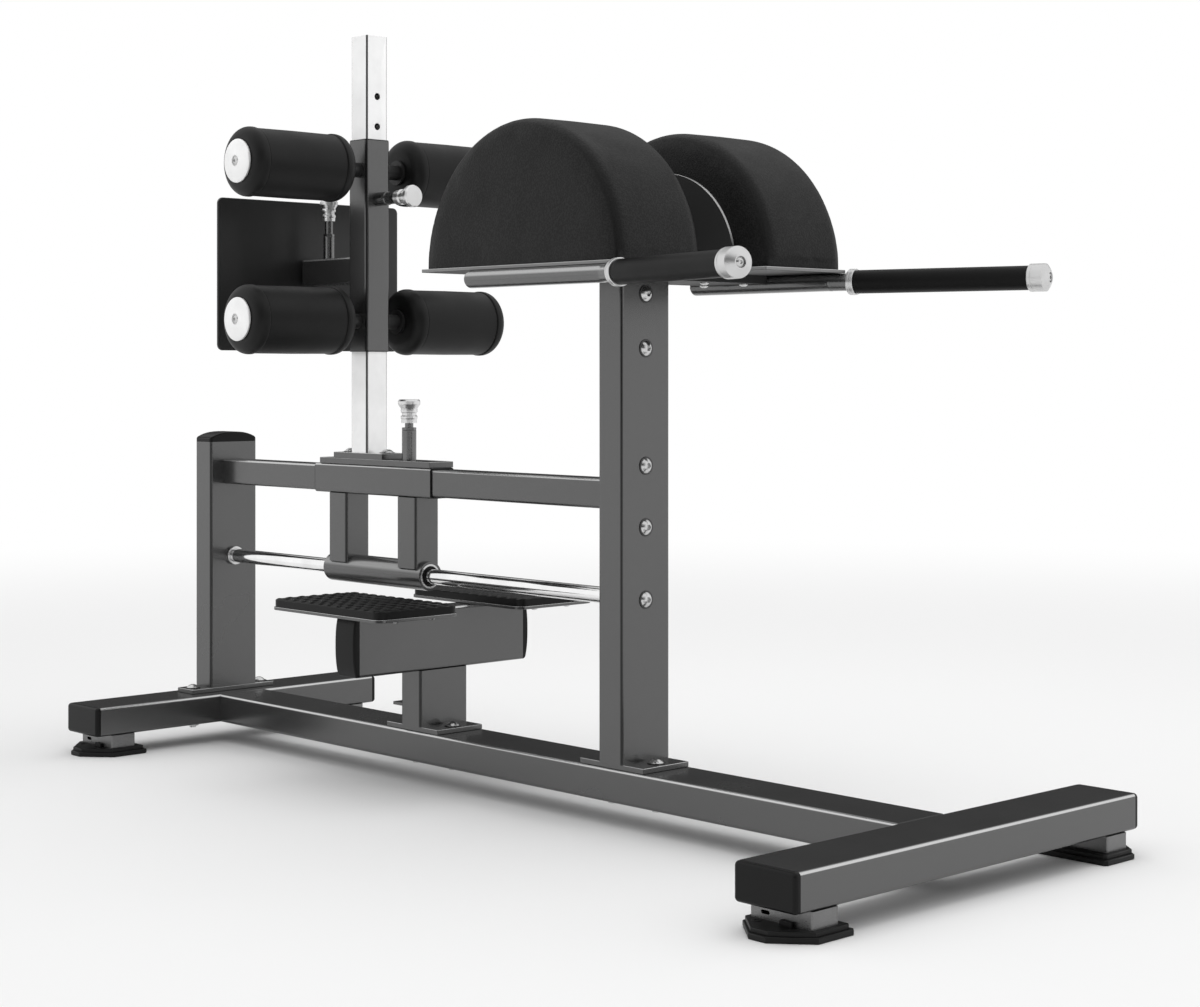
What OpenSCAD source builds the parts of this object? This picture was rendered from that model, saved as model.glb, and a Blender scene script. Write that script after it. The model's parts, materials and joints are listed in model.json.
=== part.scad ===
// Glute-ham bench: a floor frame with fixed hip pads, handles and a step,
// and a sliding carriage that carries the height-adjustable ankle rollers.
// +X is the handle end, +Z is up, and the frame is symmetric about Y = 0.

/* [Floor frame] */
// Length of the base rail between the two crossbars
rail_len = 1560; // [1480:20:1800]
// Width of the base tube
base_w = 100; // [90:5:110]
// Height of the base tube
base_h = 50; // [40:5:60]
// Length of the front crossbar's tube
front_bar_len = 696; // [640:4:900]
// Length of the rear crossbar's tube
rear_bar_len = 588; // [500:4:700]
// Wall of every heavy tube
wall = 3; // [2:0.5:3.5]
// Outer corner radius of every square tube
tube_r = 5; // [3:0.5:6]
// Thickness of a crossbar cap outside its tube
cap_t = 9; // [6:1:14]
// Rounding of a cap's outer edges
cap_round = 4; // [2:0.5:5]
// Reach of a cap's plug into its tube
plug_len = 18; // [10:1:30]

/* [Feet] */
// Distance from a crossbar tube's end to its foot
foot_inset = 44.5; // [35:0.5:60]
// Length of the steel riser along X
riser_x = 100; // [80:5:100]
// Width of the steel riser along Y
riser_y = 47; // [40:1:60]
// Height of the steel riser
riser_h = 22; // [16:1:40]
// Wall of the riser
riser_wall = 4; // [3:0.5:6]
// Rounding of the riser's upright corners
riser_r = 3; // [2:0.5:3.5]
// Thickness of the riser's base plate
riser_plate_t = 6; // [5:0.5:8]
// Thickness of the lower rubber layer
rubber_low_t = 8; // [7:1:14]
// Thickness of the upper rubber layer
rubber_high_t = 6; // [4:1:10]
// Half length of the rubber foot along X
rubber_half_x = 61; // [56:1:75]
// Reach of the rubber foot behind the riser's centre
rubber_back = 42; // [36:1:55]
// Length of the rubber foot's straight sides past the riser's centre
rubber_side = 25; // [15:1:30]
// Reach of the rubber foot's nose past the riser's centre
rubber_nose = 66; // [50:1:80]
// Half width of the rubber foot's nose
rubber_nose_x = 14; // [8:1:30]
// Step between the two rubber layers
rubber_step = 4; // [2:0.5:6]
// Diameter of a foot screw's shank
foot_screw_d = 8; // [6:1:10]
// Distance of a foot screw from the riser's centre
foot_screw_x = 28; // [20:1:32]

/* [Uprights] */
// Depth of the upright tube along X
up_x = 50; // [45:5:60]
// Width of the upright tube along Y
up_y = 100; // [90:5:100]
// Distance of the front upright's centre from the middle
front_up_x = 243; // [200:1:300]
// Distance of the rear upright's centre past the base rail's rear end
rear_up_past = 56; // [45:1:60]
// Length of the front upright's tube
front_up_len = 710.5; // [640:0.5:800]
// Length of the rear upright's tube
rear_up_len = 447.6; // [440:0.1:500]
// Thickness of the mounting flanges
flange_t = 8; // [6:1:12]
// Length of the front upright's flange along X
front_flange_x = 135; // [125:1:160]
// Length of the step's flange along X
step_flange_x = 132; // [125:1:160]
// Width of the front and step flanges along Y
flange_y = 94; // [80:1:96]
// Length of the rear flange along Y
rear_flange_y = 176; // [170:1:220]
// Distance of a flange bolt from the front upright's or the step's centre
flange_bolt_x = 47; // [42:0.5:52]
// Distance of a flange bolt from the rear upright's centre
flange_bolt_y = 72; // [66:0.5:76]
// Height of the rear upright's domed cap
dome_h = 18.2; // [12:0.2:26]

/* [Upper rail and guide rod] */
// Side of the square upper rail
slide_w = 45; // [40:1:48]
// Wall of the upper rail and of the ankle post
slide_wall = 2.5; // [2:0.5:3]
// Height of the upper rail's centre over the floor
slide_z = 487.5; // [480:0.5:520]
// Thickness of the rail's front end plate
end_plate_t = 8; // [6:1:12]
// Distance of the upper end-plate bolt above the rail's centre
plate_bolt_up = 43.5; // [40:0.5:60]
// Distance of the lower end-plate bolt below the rail's centre
plate_bolt_down = 47.5; // [42:0.5:60]
// Margin of the end plate past its bolts
plate_margin = 12; // [10:1:18]
// Diameter of the guide rod
rod_d = 25; // [20:1:28]
// Height of the guide rod's centre over the floor
rod_z = 333; // [330:1:350]
// Outer diameter of the guide rod's collars
collar_d = 34; // [31:1:45]
// Thickness of the guide rod's collars
collar_t = 8; // [5:1:14]
// Depth of the tapped hole in each end of the guide rod
rod_tap = 40; // [25:1:50]
// Distance between the locating holes of the rail
hole_pitch = 50; // [40:1:60]
// Number of locating holes on each side of the rest position
hole_steps = 4; // [2:1:4]
// Diameter of every locating hole
hole_d = 12; // [11:0.5:14]

/* [Fasteners] */
// Diameter of the frame bolts
bolt_d = 12; // [10:1:12]
// Diameter of a frame bolt's button head
head_d = 22; // [20:0.5:24]
// Height of a frame bolt's button head
head_h = 7; // [5:0.5:9]
// Size of a frame nut across its corners
nut_d = 20.8; // [19:0.1:22]
// Height of a frame nut
nut_h = 10; // [8:0.5:10]
// Length of thread that stands past a nut
thread_out = 3; // [1:0.5:4]
// Diameter of the small screws of plates and pads
screw_d = 8; // [6:0.5:8]
// Diameter of a small screw's head
screw_head_d = 14; // [12:0.5:16]
// Height of a small screw's head
screw_head_h = 4.5; // [3:0.5:6]

/* [Step] */
// Distance of the step's stub from the middle
step_x = 227.5; // [220:0.5:260]
// Length of the step's stub
stub_len = 91; // [70:1:96]
// Half length of the step beam's tube
beam_half = 171.5; // [150:0.5:190]
// Thickness of a beam cap outside the tube
beam_cap_t = 12; // [8:1:18]
// Thickness of a step plate
step_plate_t = 5; // [4:0.5:8]
// Length of a step plate along X
step_plate_x = 287; // [280:1:320]
// Distance of a step plate's inner edge from the middle
step_in = 62; // [40:1:90]
// Distance of a step plate's outer edge from the middle
step_out = 225; // [210:1:260]
// Corner radius of a step plate
step_r = 16; // [8:1:24]
// Thickness of a rubber tread under its studs
tread_t = 11; // [6:0.5:12]
// Height of the tread's studs
stud_h = 3; // [2:0.5:3.5]
// Distance between the tread's studs
stud_pitch = 24; // [20:1:32]
// Diameter of the tread's studs
stud_d = 16; // [10:0.5:18]
// Length of the small tab behind the stub
tab_x = 42; // [20:1:60]
// Width of the small tab
tab_y = 66; // [40:1:90]
// Thickness of the small tab
tab_t = 5; // [3:0.5:8]
// Height of the small tab over the stub's foot
tab_up = 26; // [15:1:50]

/* [Hip pads] */
// Radius of a half-round hip pad
pad_r = 208.5; // [180:0.5:220]
// Width of a hip pad
pad_w = 170; // [140:1:200]
// Distance of a hip pad's inner face from the middle
pad_in = 65; // [50:1:90]
// Rounding between a pad's sides and its curved face
pad_edge = 19; // [10:1:28]
// Crown of a pad's curved face
pad_crown = 3; // [0:0.5:6]
// Crown of a pad's side face
pad_side_crown = 2; // [0.5:0.5:4]
// Amount by which a pad is drawn in at its base
pad_tuck = 4; // [1:0.5:8]
// Thickness of the board inside a pad
board_t = 12; // [9:1:18]
// Distance of the board's edge from the pad's edge
board_inset = 22; // [14:1:30]
// Thickness of a seat plate and of its half-round back
seat_t = 5; // [4:0.5:8]
// Length of a seat plate along X
seat_x = 420; // [400:1:450]
// Radius of a seat plate's half-round back
back_r = 147; // [110:1:170]
// Thickness of the cross plate on the front upright
cross_t = 12; // [8:1:16]
// Length of the cross plate along X
cross_x = 130; // [110:1:160]
// Depth of the carrier insert inside the front upright
carrier_len = 124.5; // [115:0.5:160]
// Distance of the carrier's upper bolt below the upright's top
carrier_bolt_1 = 19.5; // [18:0.5:30]
// Distance of the carrier's lower bolt below the upright's top
carrier_bolt_2 = 100; // [60:0.5:104]
// Distance of a seat screw from the upright's centre along X
seat_screw_x = 42; // [36:1:52]

/* [Handles] */
// Outer diameter of a handle tube
handle_d = 26; // [22:1:30]
// Distance of a handle tube from the middle
handle_y = 233; // [220:1:250]
// Distance of a handle tube's closed end from the middle
handle_start = 141; // [100:1:170]
// Distance of the handle's bend from the middle
handle_bend = 428; // [400:1:460]
// Angle by which a handle splays outward
splay = 14.8; // [8:0.2:25]
// Rounding of the handle's closed end
handle_round = 5; // [2:0.5:5]
// Distance from the bend to the grip's inner end
grip_from = 41.5; // [36:0.5:60]
// Length of the rubber grip
grip_len = 271; // [150:1:320]
// Outer diameter of the rubber grip
grip_d = 35; // [32:0.5:38]
// Outer diameter of the grip's collar
grip_collar_d = 39; // [36:0.5:44]
// Thickness of the grip's collar
grip_collar_t = 11; // [6:0.5:16]
// Outer diameter of the handle's end cap
end_cap_d = 40; // [36:0.5:46]
// Length of the end cap's cylinder
end_cap_cyl = 19; // [12:0.5:26]
// Length of the end cap's cone
end_cap_cone = 11; // [6:0.5:16]
// Diameter of the end cap's face
end_cap_face = 17; // [16:0.5:24]
// Length of the end cap's spigot inside the handle tube
end_cap_spigot = 25; // [16:0.5:34]

/* [Carriage] */
// Distance of the ankle post's centre from the middle, towards the rear
post_x = 403; // [380:1:420]
// Distance from the post to the sleeve's rear end
sleeve_back = 121; // [110:1:140]
// Distance from the post to the sleeve's front end
sleeve_front = 195; // [180:1:200]
// Wall of the sliding sleeves
sleeve_wall = 2; // [2:0.5:3]
// Gap between a slide tube and its sleeve, filled by a liner
slide_gap = 0.5; // [0.4:0.1:1]
// Length of a plastic liner
liner_len = 40; // [30:1:50]
// Thickness of a liner's outer rim
liner_rim = 1.5; // [1:0.5:3]
// Distance from the post to the lower plate's rear end
plate_back = 107.5; // [90:0.5:120]
// Distance from the post to the lower plate's front end
plate_front = 194; // [170:0.5:195]
// Thickness of the carriage's two plates
plate_t = 10; // [8:1:14]
// Length of the post's flange
post_flange_x = 135; // [130:1:160]
// Distance of a post bolt from the post's centre
post_bolt_x = 50; // [44:0.5:54]
// Distance from the post to the rear leg
leg_back = 57; // [50:1:70]
// Distance from the post to the front leg
leg_front = 132; // [120:1:135]
// Side of a square leg
leg_w = 50; // [45:1:50]
// Height of a leg's lower end over the guide rod's centre
leg_over_rod = 12.5; // [8:0.5:16]
// Outer diameter of the bushing tube
bush_tube_d = 48; // [46:1:50]
// Wall of the bushing tube
bush_wall = 4; // [3:0.5:6]
// Distance from the post to the bushing tube's rear end
bush_back = 98; // [90:1:120]
// Distance from the post to the bushing tube's front end
bush_front = 165; // [160:1:190]
// Length of a bush
bush_len = 40; // [20:1:60]
// Running clearance of round sliding parts, on the radius
run_gap = 0.05; // [0.02:0.01:0.09]
// Thickness of a bush seal
seal_t = 4; // [2:0.5:6]
// Thickness of a snap ring
snap_t = 2; // [1:0.5:3]
// Length of the ankle post over its flange
post_len = 705.5; // [680:0.5:800]
// Height of the topmost post hole below the post's top
post_hole_down = 102.6; // [60:0.1:140]
// Distance between the post's locating holes
post_pitch = 50.9; // [40:0.1:60]
// Number of the post's locating holes
post_holes = 7; // [3:1:7]

/* [Ankle support] */
// Height of the ankle sleeve's lower end over the floor
ankle_z = 705; // [695:1:740]
// Length of the ankle sleeve
ankle_len = 356; // [340:1:360]
// Distance of a roller's axis from the ankle sleeve's end
roller_inset = 50; // [40:1:60]
// Diameter of a roller's middle
roller_d = 111; // [90:1:114]
// Diameter of a roller's ends
roller_end_d = 114; // [100:1:118]
// Length of a roller's end band
roller_band = 24; // [18:1:34]
// Rounding of a roller's ends
roller_round = 13; // [8:1:18]
// Distance of a roller's inner face from the middle
roller_in = 61; // [56:1:70]
// Length of a roller
roller_len = 203; // [160:1:230]
// Diameter of a roller's axle
axle_d = 25; // [20:1:28]
// Diameter of an axle's stop washer
stop_d = 42; // [36:1:50]
// Thickness of an axle's stop washer
stop_t = 4; // [3:0.5:6]
// Diameter of a roller's end disc
disc_d = 71; // [60:1:80]
// Thickness of a roller's end disc at its rim
disc_t = 4; // [3:0.5:6]
// Height of the end disc's dome over its rim
disc_dome = 3.5; // [2:0.5:6]
// Height of the ankle sleeve's seam over its end
seam_up = 252; // [230:0.5:254]
// Height of the foot tube's centre over the ankle sleeve's end
foot_tube_up = 137.5; // [130:0.5:150]
// Wall of the foot tube
foot_tube_wall = 3; // [2.5:0.5:3]
// Distance from the ankle sleeve to the foot tube's end
foot_tube_len = 137; // [130:1:150]
// Gap between the foot tube and the tube that slides in it
foot_gap = 0.4; // [0.3:0.1:0.6]
// Distance between the foot tube and the foot plate at rest
foot_plate_gap = 6; // [3:1:12]
// Thickness of the foot plate
foot_plate_t = 5; // [4:0.5:8]
// Half width of the foot plate
foot_plate_y = 192; // [160:1:210]
// Height of the foot plate
foot_plate_z = 260; // [240:1:280]
// Height of the foot plate's lower edge over the ankle sleeve's end
foot_plate_up = 1; // [0:1:10]
// Corner radius of the foot plate
foot_plate_r = 10; // [5:1:20]
// Distance between the foot tube's locating holes
foot_pitch = 25; // [22:1:25]

/* [Locating pins] */
// Diameter of every plunger
plunger_d = 10; // [8:0.5:10]
// Clearance between a plunger's tip and the tube that slides under it
tip_gap = 0.3; // [0.1:0.1:0.5]
// Distance from the post to the carriage's pin
pin_x = 109; // [105:1:112]
// Height of the ankle pin over the ankle sleeve's end
ankle_pin_up = 256.5; // [240:0.5:262]
// Distance from the ankle sleeve to the foot tube's pin
foot_pin_x = 90; // [86:1:96]
// Barrel diameter of the carriage's pin
barrel_d = 24; // [20:1:26]
// Barrel height of the carriage's pin
barrel_h = 50.5; // [40:0.5:60]
// Barrel diameter of the ankle pin
ankle_barrel_d = 23; // [18:1:24]
// Barrel height of the ankle pin
ankle_barrel_h = 29; // [20:0.5:34]
// Barrel diameter of the foot tube's pin
foot_barrel_d = 19; // [16:1:20]
// Barrel height of the foot tube's pin
foot_barrel_h = 39.5; // [34:0.5:46]
// Height of a pin's lock nut
lock_h = 4; // [3:0.5:6]
// Height of the ankle pin's lock nut
ankle_lock_h = 16; // [10:0.5:18]
// Height of a pin's threaded neck
neck_h = 7.5; // [5:0.5:10]
// Height of the ankle pin's threaded neck
ankle_neck_h = 9; // [6:0.5:12]
// Height of the foot pin's threaded neck
foot_neck_h = 22.5; // [16:0.5:26]
// Diameter of a pin's threaded neck
neck_d = 14; // [12:0.5:15]
// Height of the carriage pin's knob
knob_h = 39; // [30:0.5:44]
// Top diameter of the carriage pin's knob
knob_d = 37; // [32:0.5:42]
// Height of the ankle pin's knob
ankle_knob_h = 44; // [34:0.5:50]
// Height of the foot pin's knob
foot_knob_h = 35.5; // [28:0.5:40]
// Top diameter of the foot pin's knob
foot_knob_d = 31; // [26:0.5:34]

/* [Hidden] */
foot_h = rubber_low_t + rubber_high_t + riser_h;
bar_x = rail_len / 2 + base_w / 2;
base_mid = foot_h + base_h / 2;
base_top = foot_h + base_h;
rear_up_x = rail_len / 2 + rear_up_past;
up_z = base_top + flange_t;
front_top = up_z + front_up_len;
rear_top = up_z + rear_up_len;
slide_front = front_up_x - up_x / 2;
slide_rear = -rear_up_x + up_x / 2;
slide_top = slide_z + slide_w / 2;
carrier_bolts = [front_top - carrier_bolt_1, front_top - carrier_bolt_2];
plate_bolts = [slide_z + plate_bolt_up, slide_z - plate_bolt_down];
sleeve_w = slide_w + 2 * slide_gap + 2 * sleeve_wall;
sleeve_top = slide_z + sleeve_w / 2;
sleeve_low = slide_z - sleeve_w / 2;
flange_z = sleeve_top + plate_t;
post_z = flange_z + plate_t;
post_top = post_z + post_len;
pin_pos = pin_x - post_x;
stub_top = up_z + stub_len;
beam_h = up_y;
beam_top = stub_top + beam_h;
tread_z = beam_top + step_plate_t;
step_mid = -step_x;
step_plate_w = step_out - step_in;
cross_z = front_top;
seat_z = cross_z + cross_t;
pad_z = seat_z + seat_t;
pad_gap = 0.3;
board_y = pad_w - 2 * board_inset;
seat_screw_in = 20;
seat_screw_y = [pad_in + board_inset + seat_screw_in, pad_in + pad_w - board_inset - seat_screw_in];
handle_z = seat_z - handle_d / 2;
handle_wall = 2.5;
grip_end = grip_from + grip_len;
fit_gap = 0.1;
ankle_top = ankle_z + ankle_len;
roller_z = [ankle_z + roller_inset, ankle_top - roller_inset];
axle_end = roller_in + roller_len + pad_gap;
foot_tube_z = ankle_z + foot_tube_up;
ankle_back = -post_x - sleeve_w / 2;
foot_tube_end = ankle_back - foot_tube_len;
foot_plate_x = foot_tube_end - foot_plate_gap;
foot_slide_w = slide_w - 2 * foot_tube_wall - 2 * foot_gap;
foot_pin_pos = ankle_back - foot_pin_x;
foot_stop = 3;
foot_holes = 3;

// Helpers: sections and tubes

// Rectangle with round corners, centred
module round_rect(w, h, r) {
  square([w - 2 * r, h], center = true);
  square([w, h - 2 * r], center = true);
  for (sx = [-1, 1], sy = [-1, 1])
    translate([sx * (w / 2 - r), sy * (h / 2 - r)])
      circle(r, $fn = 40);
}

// Section of a square tube
module tube_section(w, h, t) {
  difference() {
    round_rect(w, h, tube_r);
    round_rect(w - 2 * t, h - 2 * t, max(tube_r - t, 1));
  }
}

// Turns a shape drawn along Z so that it runs along X
module along_x() {
  rotate([90, 0, 90]) children();
}

// Turns a shape drawn along Z so that it runs along Y
module along_y() {
  rotate([-90, 0, 0]) children();
}

// Tube that stands on its own foot
module tube_z(len, x, y, t) {
  linear_extrude(len) tube_section(x, y, t);
}

// Tube along X, from its own origin
module tube_x(len, y, z, t) {
  along_x() linear_extrude(len) tube_section(y, z, t);
}

// Tube along Y, centred on its own origin
module tube_y(len, x, z, t) {
  translate([0, -len / 2, 0]) along_y() linear_extrude(len) tube_section(x, z, t);
}

// Draws its children on both sides of the middle plane
module both_sides() {
  children();
  mirror([0, 1, 0]) children();
}

// Fasteners, with the head above the origin and the shank below it

module dome_head(d, h) {
  rim = 1.5;
  ball = (d * d / 4 + pow(h - rim, 2)) / (2 * (h - rim));
  difference() {
    intersection() {
      cylinder(d = d, h = h, $fn = 48);
      translate([0, 0, h - ball]) sphere(ball, $fn = 64);
    }
    translate([0, 0, h * 0.4]) cylinder(d = d * 0.42, h = h, $fn = 6);
  }
}

module button_bolt(shank) {
  dome_head(head_d, head_h);
  translate([0, 0, -shank]) cylinder(d = bolt_d, h = shank, $fn = 32);
}

module frame_nut() {
  difference() {
    cylinder(d = nut_d, h = nut_h, $fn = 6);
    translate([0, 0, -1]) cylinder(d = bolt_d + fit_gap, h = nut_h + 2, $fn = 32);
  }
}

module small_screw(shank, d = screw_d) {
  dome_head(screw_head_d, screw_head_h);
  translate([0, 0, -shank]) cylinder(d = d, h = shank, $fn = 24);
}

// Hole for a frame bolt, through everything from its origin upwards
module bolt_hole(len, d = bolt_d) {
  translate([0, 0, -1]) cylinder(d = d + 1, h = len + 2, $fn = 32);
}

// Places of the base bolts
module at_base_bolts() {
  for (s = [-1, 1]) {
    translate([front_up_x + s * flange_bolt_x, 0, 0]) children();
    translate([step_mid + s * flange_bolt_x, 0, 0]) children();
    translate([-rear_up_x, s * flange_bolt_y, 0]) children();
  }
}

// Floor frame

module base_rail() {
  color("dimgray") difference() {
    translate([-rail_len / 2, 0, base_mid]) tube_x(rail_len, base_w, base_h, wall);
    translate([0, 0, foot_h]) at_base_bolts() bolt_hole(base_h);
  }
}

module crossbar(len) {
  translate([0, 0, base_mid]) tube_y(len, base_w, base_h, wall);
}

module front_crossbar() {
  color("dimgray") translate([bar_x, 0, 0]) crossbar(front_bar_len);
}

module rear_crossbar() {
  color("dimgray") difference() {
    translate([-bar_x, 0, 0]) crossbar(rear_bar_len);
    translate([0, 0, foot_h]) at_base_bolts() bolt_hole(base_h);
  }
}

// Cap with rounded outer edges and a plug that enters the tube below it
module flat_cap(w, h, t, inner_wall) {
  hull() {
    linear_extrude(t - cap_round) round_rect(w, h, tube_r);
    linear_extrude(t - cap_round * 0.3)
      round_rect(w - 0.6 * cap_round, h - 0.6 * cap_round, tube_r);
    linear_extrude(t) round_rect(w - 2 * cap_round, h - 2 * cap_round, tube_r);
  }
  cap_plug(w, h, inner_wall);
}

module cap_plug(w, h, inner_wall) {
  translate([0, 0, -plug_len]) linear_extrude(plug_len + 1)
    round_rect(w - 2 * inner_wall - 0.6, h - 2 * inner_wall - 0.6, 2);
}

module crossbar_caps() {
  color([0.13, 0.13, 0.13]) both_sides()
    for (end = [[bar_x, front_bar_len], [-bar_x, rear_bar_len]])
      translate([end[0], end[1] / 2, base_mid]) along_y() flat_cap(base_w, base_h, cap_t, wall);
}

// Draws its children at the four feet, with +Y pointing outward
module at_feet() {
  both_sides()
    for (end = [[bar_x, front_bar_len], [-bar_x, rear_bar_len]])
      translate([end[0], end[1] / 2 - foot_inset, 0]) children();
}

module at_foot_screws() {
  for (s = [-1, 1])
    translate([s * foot_screw_x, 0, 0]) children();
}

module foot_risers() {
  low = rubber_low_t + rubber_high_t;
  slot = [14, 5];
  color("gray") at_feet() difference() {
    translate([0, 0, low]) linear_extrude(riser_h) round_rect(riser_x, riser_y, riser_r);
    translate([0, 0, low + riser_plate_t]) linear_extrude(riser_h)
      round_rect(riser_x - 2 * riser_wall, riser_y - 2 * riser_wall, 1);
    for (s = [-1, 1])
      translate([-riser_x / 4 + s * (slot[0] - slot[1]) / 2, riser_y / 2 - riser_wall - 1, low + riser_plate_t + 3])
        along_y() cylinder(d = slot[1], h = riser_wall + 2, $fn = 24);
    translate([-riser_x / 4, riser_y / 2, low + riser_plate_t + 3])
      cube([slot[0] - slot[1], 2 * riser_wall + 2, slot[1]], center = true);
    at_foot_screws() translate([0, 0, low]) bolt_hole(riser_plate_t, foot_screw_d);
  }
}

// Outline of a rubber layer, drawn in by a step
module foot_outline(step) {
  polygon([
    [rubber_half_x - step, -rubber_back + step],
    [rubber_half_x - step, rubber_side],
    [rubber_nose_x, rubber_nose - step],
    [-rubber_nose_x, rubber_nose - step],
    [-rubber_half_x + step, rubber_side],
    [-rubber_half_x + step, -rubber_back + step],
  ]);
}

module rubber_feet() {
  head_space = rubber_low_t - 1;
  lug = [20, 6, 6];
  color([0.1, 0.1, 0.1]) at_feet() difference() {
    union() {
      linear_extrude(rubber_low_t) foot_outline(0);
      linear_extrude(rubber_low_t + rubber_high_t) foot_outline(rubber_step);
      translate([2, riser_y / 2 + 0.3, rubber_low_t]) cube([lug[0], lug[1], rubber_high_t + lug[2]]);
    }
    at_foot_screws() {
      bolt_hole(rubber_low_t + rubber_high_t, foot_screw_d);
      translate([0, 0, -1]) cylinder(d = screw_head_d + 3, h = head_space + 1, $fn = 32);
    }
  }
}

module foot_screws() {
  head_z = rubber_low_t - 1;
  reach = rubber_high_t + 1 + riser_plate_t + 8;
  color("silver") at_feet() at_foot_screws() {
    translate([0, 0, head_z]) mirror([0, 0, 1]) small_screw(reach, foot_screw_d);
    translate([0, 0, rubber_low_t + rubber_high_t + riser_plate_t])
      cylinder(d = foot_screw_d * 1.8, h = 6, $fn = 6);
  }
}

// Uprights and their flanges

module mounting_flanges() {
  color("dimgray") difference() {
    translate([0, 0, base_top]) {
      translate([front_up_x, 0, 0]) linear_extrude(flange_t)
        square([front_flange_x, flange_y], center = true);
      translate([step_mid, 0, 0]) linear_extrude(flange_t)
        square([step_flange_x, flange_y], center = true);
      translate([-rear_up_x, 0, 0]) linear_extrude(flange_t)
        square([up_x, rear_flange_y], center = true);
    }
    translate([0, 0, base_top]) at_base_bolts() bolt_hole(flange_t);
  }
}

module rear_upright() {
  color("dimgray") difference() {
    translate([-rear_up_x, 0, up_z]) tube_z(rear_up_len, up_x, up_y, wall);
    translate([-rear_up_x - up_x / 2, 0, rod_z]) along_x() bolt_hole(up_x);
  }
}

module front_upright() {
  color("dimgray") difference() {
    translate([front_up_x, 0, up_z]) tube_z(front_up_len, up_x, up_y, wall);
    for (z = concat(carrier_bolts, plate_bolts, [rod_z]))
      translate([slide_front, 0, z]) along_x() bolt_hole(up_x);
  }
}

// Cap with a domed face: full height in the middle, low at the edges
module dome_cap(w, h, t, inner_wall) {
  hull() {
    linear_extrude(t * 0.45) round_rect(w, h, tube_r);
    linear_extrude(t * 0.75) round_rect(w - 3, h - 12, tube_r);
    linear_extrude(t * 0.93) round_rect(w - 9, h - 36, tube_r);
    linear_extrude(t) round_rect(w - 16, h - 60, tube_r);
  }
  cap_plug(w, h, inner_wall);
}

module domed_caps() {
  color([0.13, 0.13, 0.13]) {
    translate([-rear_up_x, 0, rear_top]) dome_cap(up_x, up_y, dome_h, wall);
    both_sides() translate([step_mid, beam_half, beam_top - beam_h / 2])
      along_y() dome_cap(up_x, beam_h, beam_cap_t, wall);
  }
}

// Upper rail, guide rod and their fasteners

module upper_rail() {
  plate_low = plate_bolts[1] - plate_margin;
  plate_high = plate_bolts[0] + plate_margin;
  color("dimgray") difference() {
    union() {
      translate([slide_rear, 0, slide_z])
        tube_x(slide_front - end_plate_t - slide_rear, slide_w, slide_w, slide_wall);
      translate([slide_front - end_plate_t, -slide_w / 2, plate_low])
        cube([end_plate_t, slide_w, plate_high - plate_low]);
    }
    for (z = plate_bolts)
      translate([slide_front - end_plate_t, 0, z]) along_x() bolt_hole(end_plate_t);
    for (i = [-hole_steps:hole_steps])
      translate([pin_pos + i * hole_pitch, 0, slide_z]) cylinder(d = hole_d, h = slide_w, $fn = 32);
  }
}

module guide_rod() {
  len = slide_front - slide_rear;
  color("white") translate([slide_rear, 0, rod_z]) along_x() difference() {
    cylinder(d = rod_d, h = len, $fn = 64);
    for (z = [-1, len - rod_tap])
      translate([0, 0, z]) cylinder(d = bolt_d + fit_gap, h = rod_tap + 1, $fn = 32);
  }
}

module rod_collars() {
  color("silver") for (x = [slide_rear, slide_front - collar_t])
    translate([x, 0, rod_z]) along_x() difference() {
      cylinder(d = collar_d, h = collar_t, $fn = 64);
      translate([0, 0, -1]) cylinder(d = rod_d + fit_gap, h = collar_t + 2, $fn = 64);
    }
}

module frame_bolts() {
  base_shank = flange_t + base_h + nut_h + thread_out;
  rod_shank = up_x + rod_tap - 5;
  face = front_up_x + up_x / 2;
  color("silver") {
    translate([0, 0, base_top + flange_t]) at_base_bolts() button_bolt(base_shank);
    for (z = carrier_bolts)
      translate([face, 0, z]) along_x() button_bolt(up_x + nut_h + thread_out);
    for (z = plate_bolts)
      translate([face, 0, z]) along_x() button_bolt(up_x + end_plate_t + nut_h + thread_out);
    translate([face, 0, rod_z]) along_x() button_bolt(rod_shank);
    translate([-rear_up_x - up_x / 2, 0, rod_z]) mirror([1, 0, 0]) along_x() button_bolt(rod_shank);
  }
}

module frame_nuts() {
  color("silver") {
    translate([0, 0, foot_h - nut_h]) at_base_bolts() frame_nut();
    for (z = carrier_bolts)
      translate([slide_front - nut_h, 0, z]) along_x() frame_nut();
    for (z = plate_bolts)
      translate([slide_front - end_plate_t - nut_h, 0, z]) along_x() frame_nut();
  }
}

// Step

module step_stub() {
  color("dimgray") {
    translate([step_mid, 0, up_z]) tube_z(stub_len, up_x, up_y, wall);
    translate([step_mid - up_x / 2 - tab_x, -tab_y / 2, up_z + tab_up]) cube([tab_x, tab_y, tab_t]);
  }
}

module step_beam() {
  color("dimgray") translate([step_mid, 0, beam_top - beam_h / 2])
    tube_y(2 * beam_half, up_x, beam_h, wall);
}

// Outline of a step plate, with its centre at the origin
module step_outline(inset) {
  round_rect(step_plate_x - 2 * inset, step_plate_w - 2 * inset, step_r);
}

// Places of the screws that hold a tread
module at_tread_screws() {
  edge_x = 18;
  edge_y = 46;
  for (sx = [-1, 1], sy = [-1, 1])
    translate([sx * (step_plate_x / 2 - edge_x), sy * (step_plate_w / 2 - edge_y), 0]) children();
  translate([-up_x / 2 - screw_head_d / 2 - 4, step_plate_w / 2 - edge_y + 10, 0]) children();
}

module at_steps() {
  both_sides() translate([step_mid, (step_in + step_out) / 2, 0]) children();
}

module step_plates() {
  color("gray") at_steps() translate([0, 0, beam_top]) difference() {
    linear_extrude(step_plate_t) step_outline(0);
    at_tread_screws() bolt_hole(step_plate_t, screw_d);
  }
}

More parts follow.
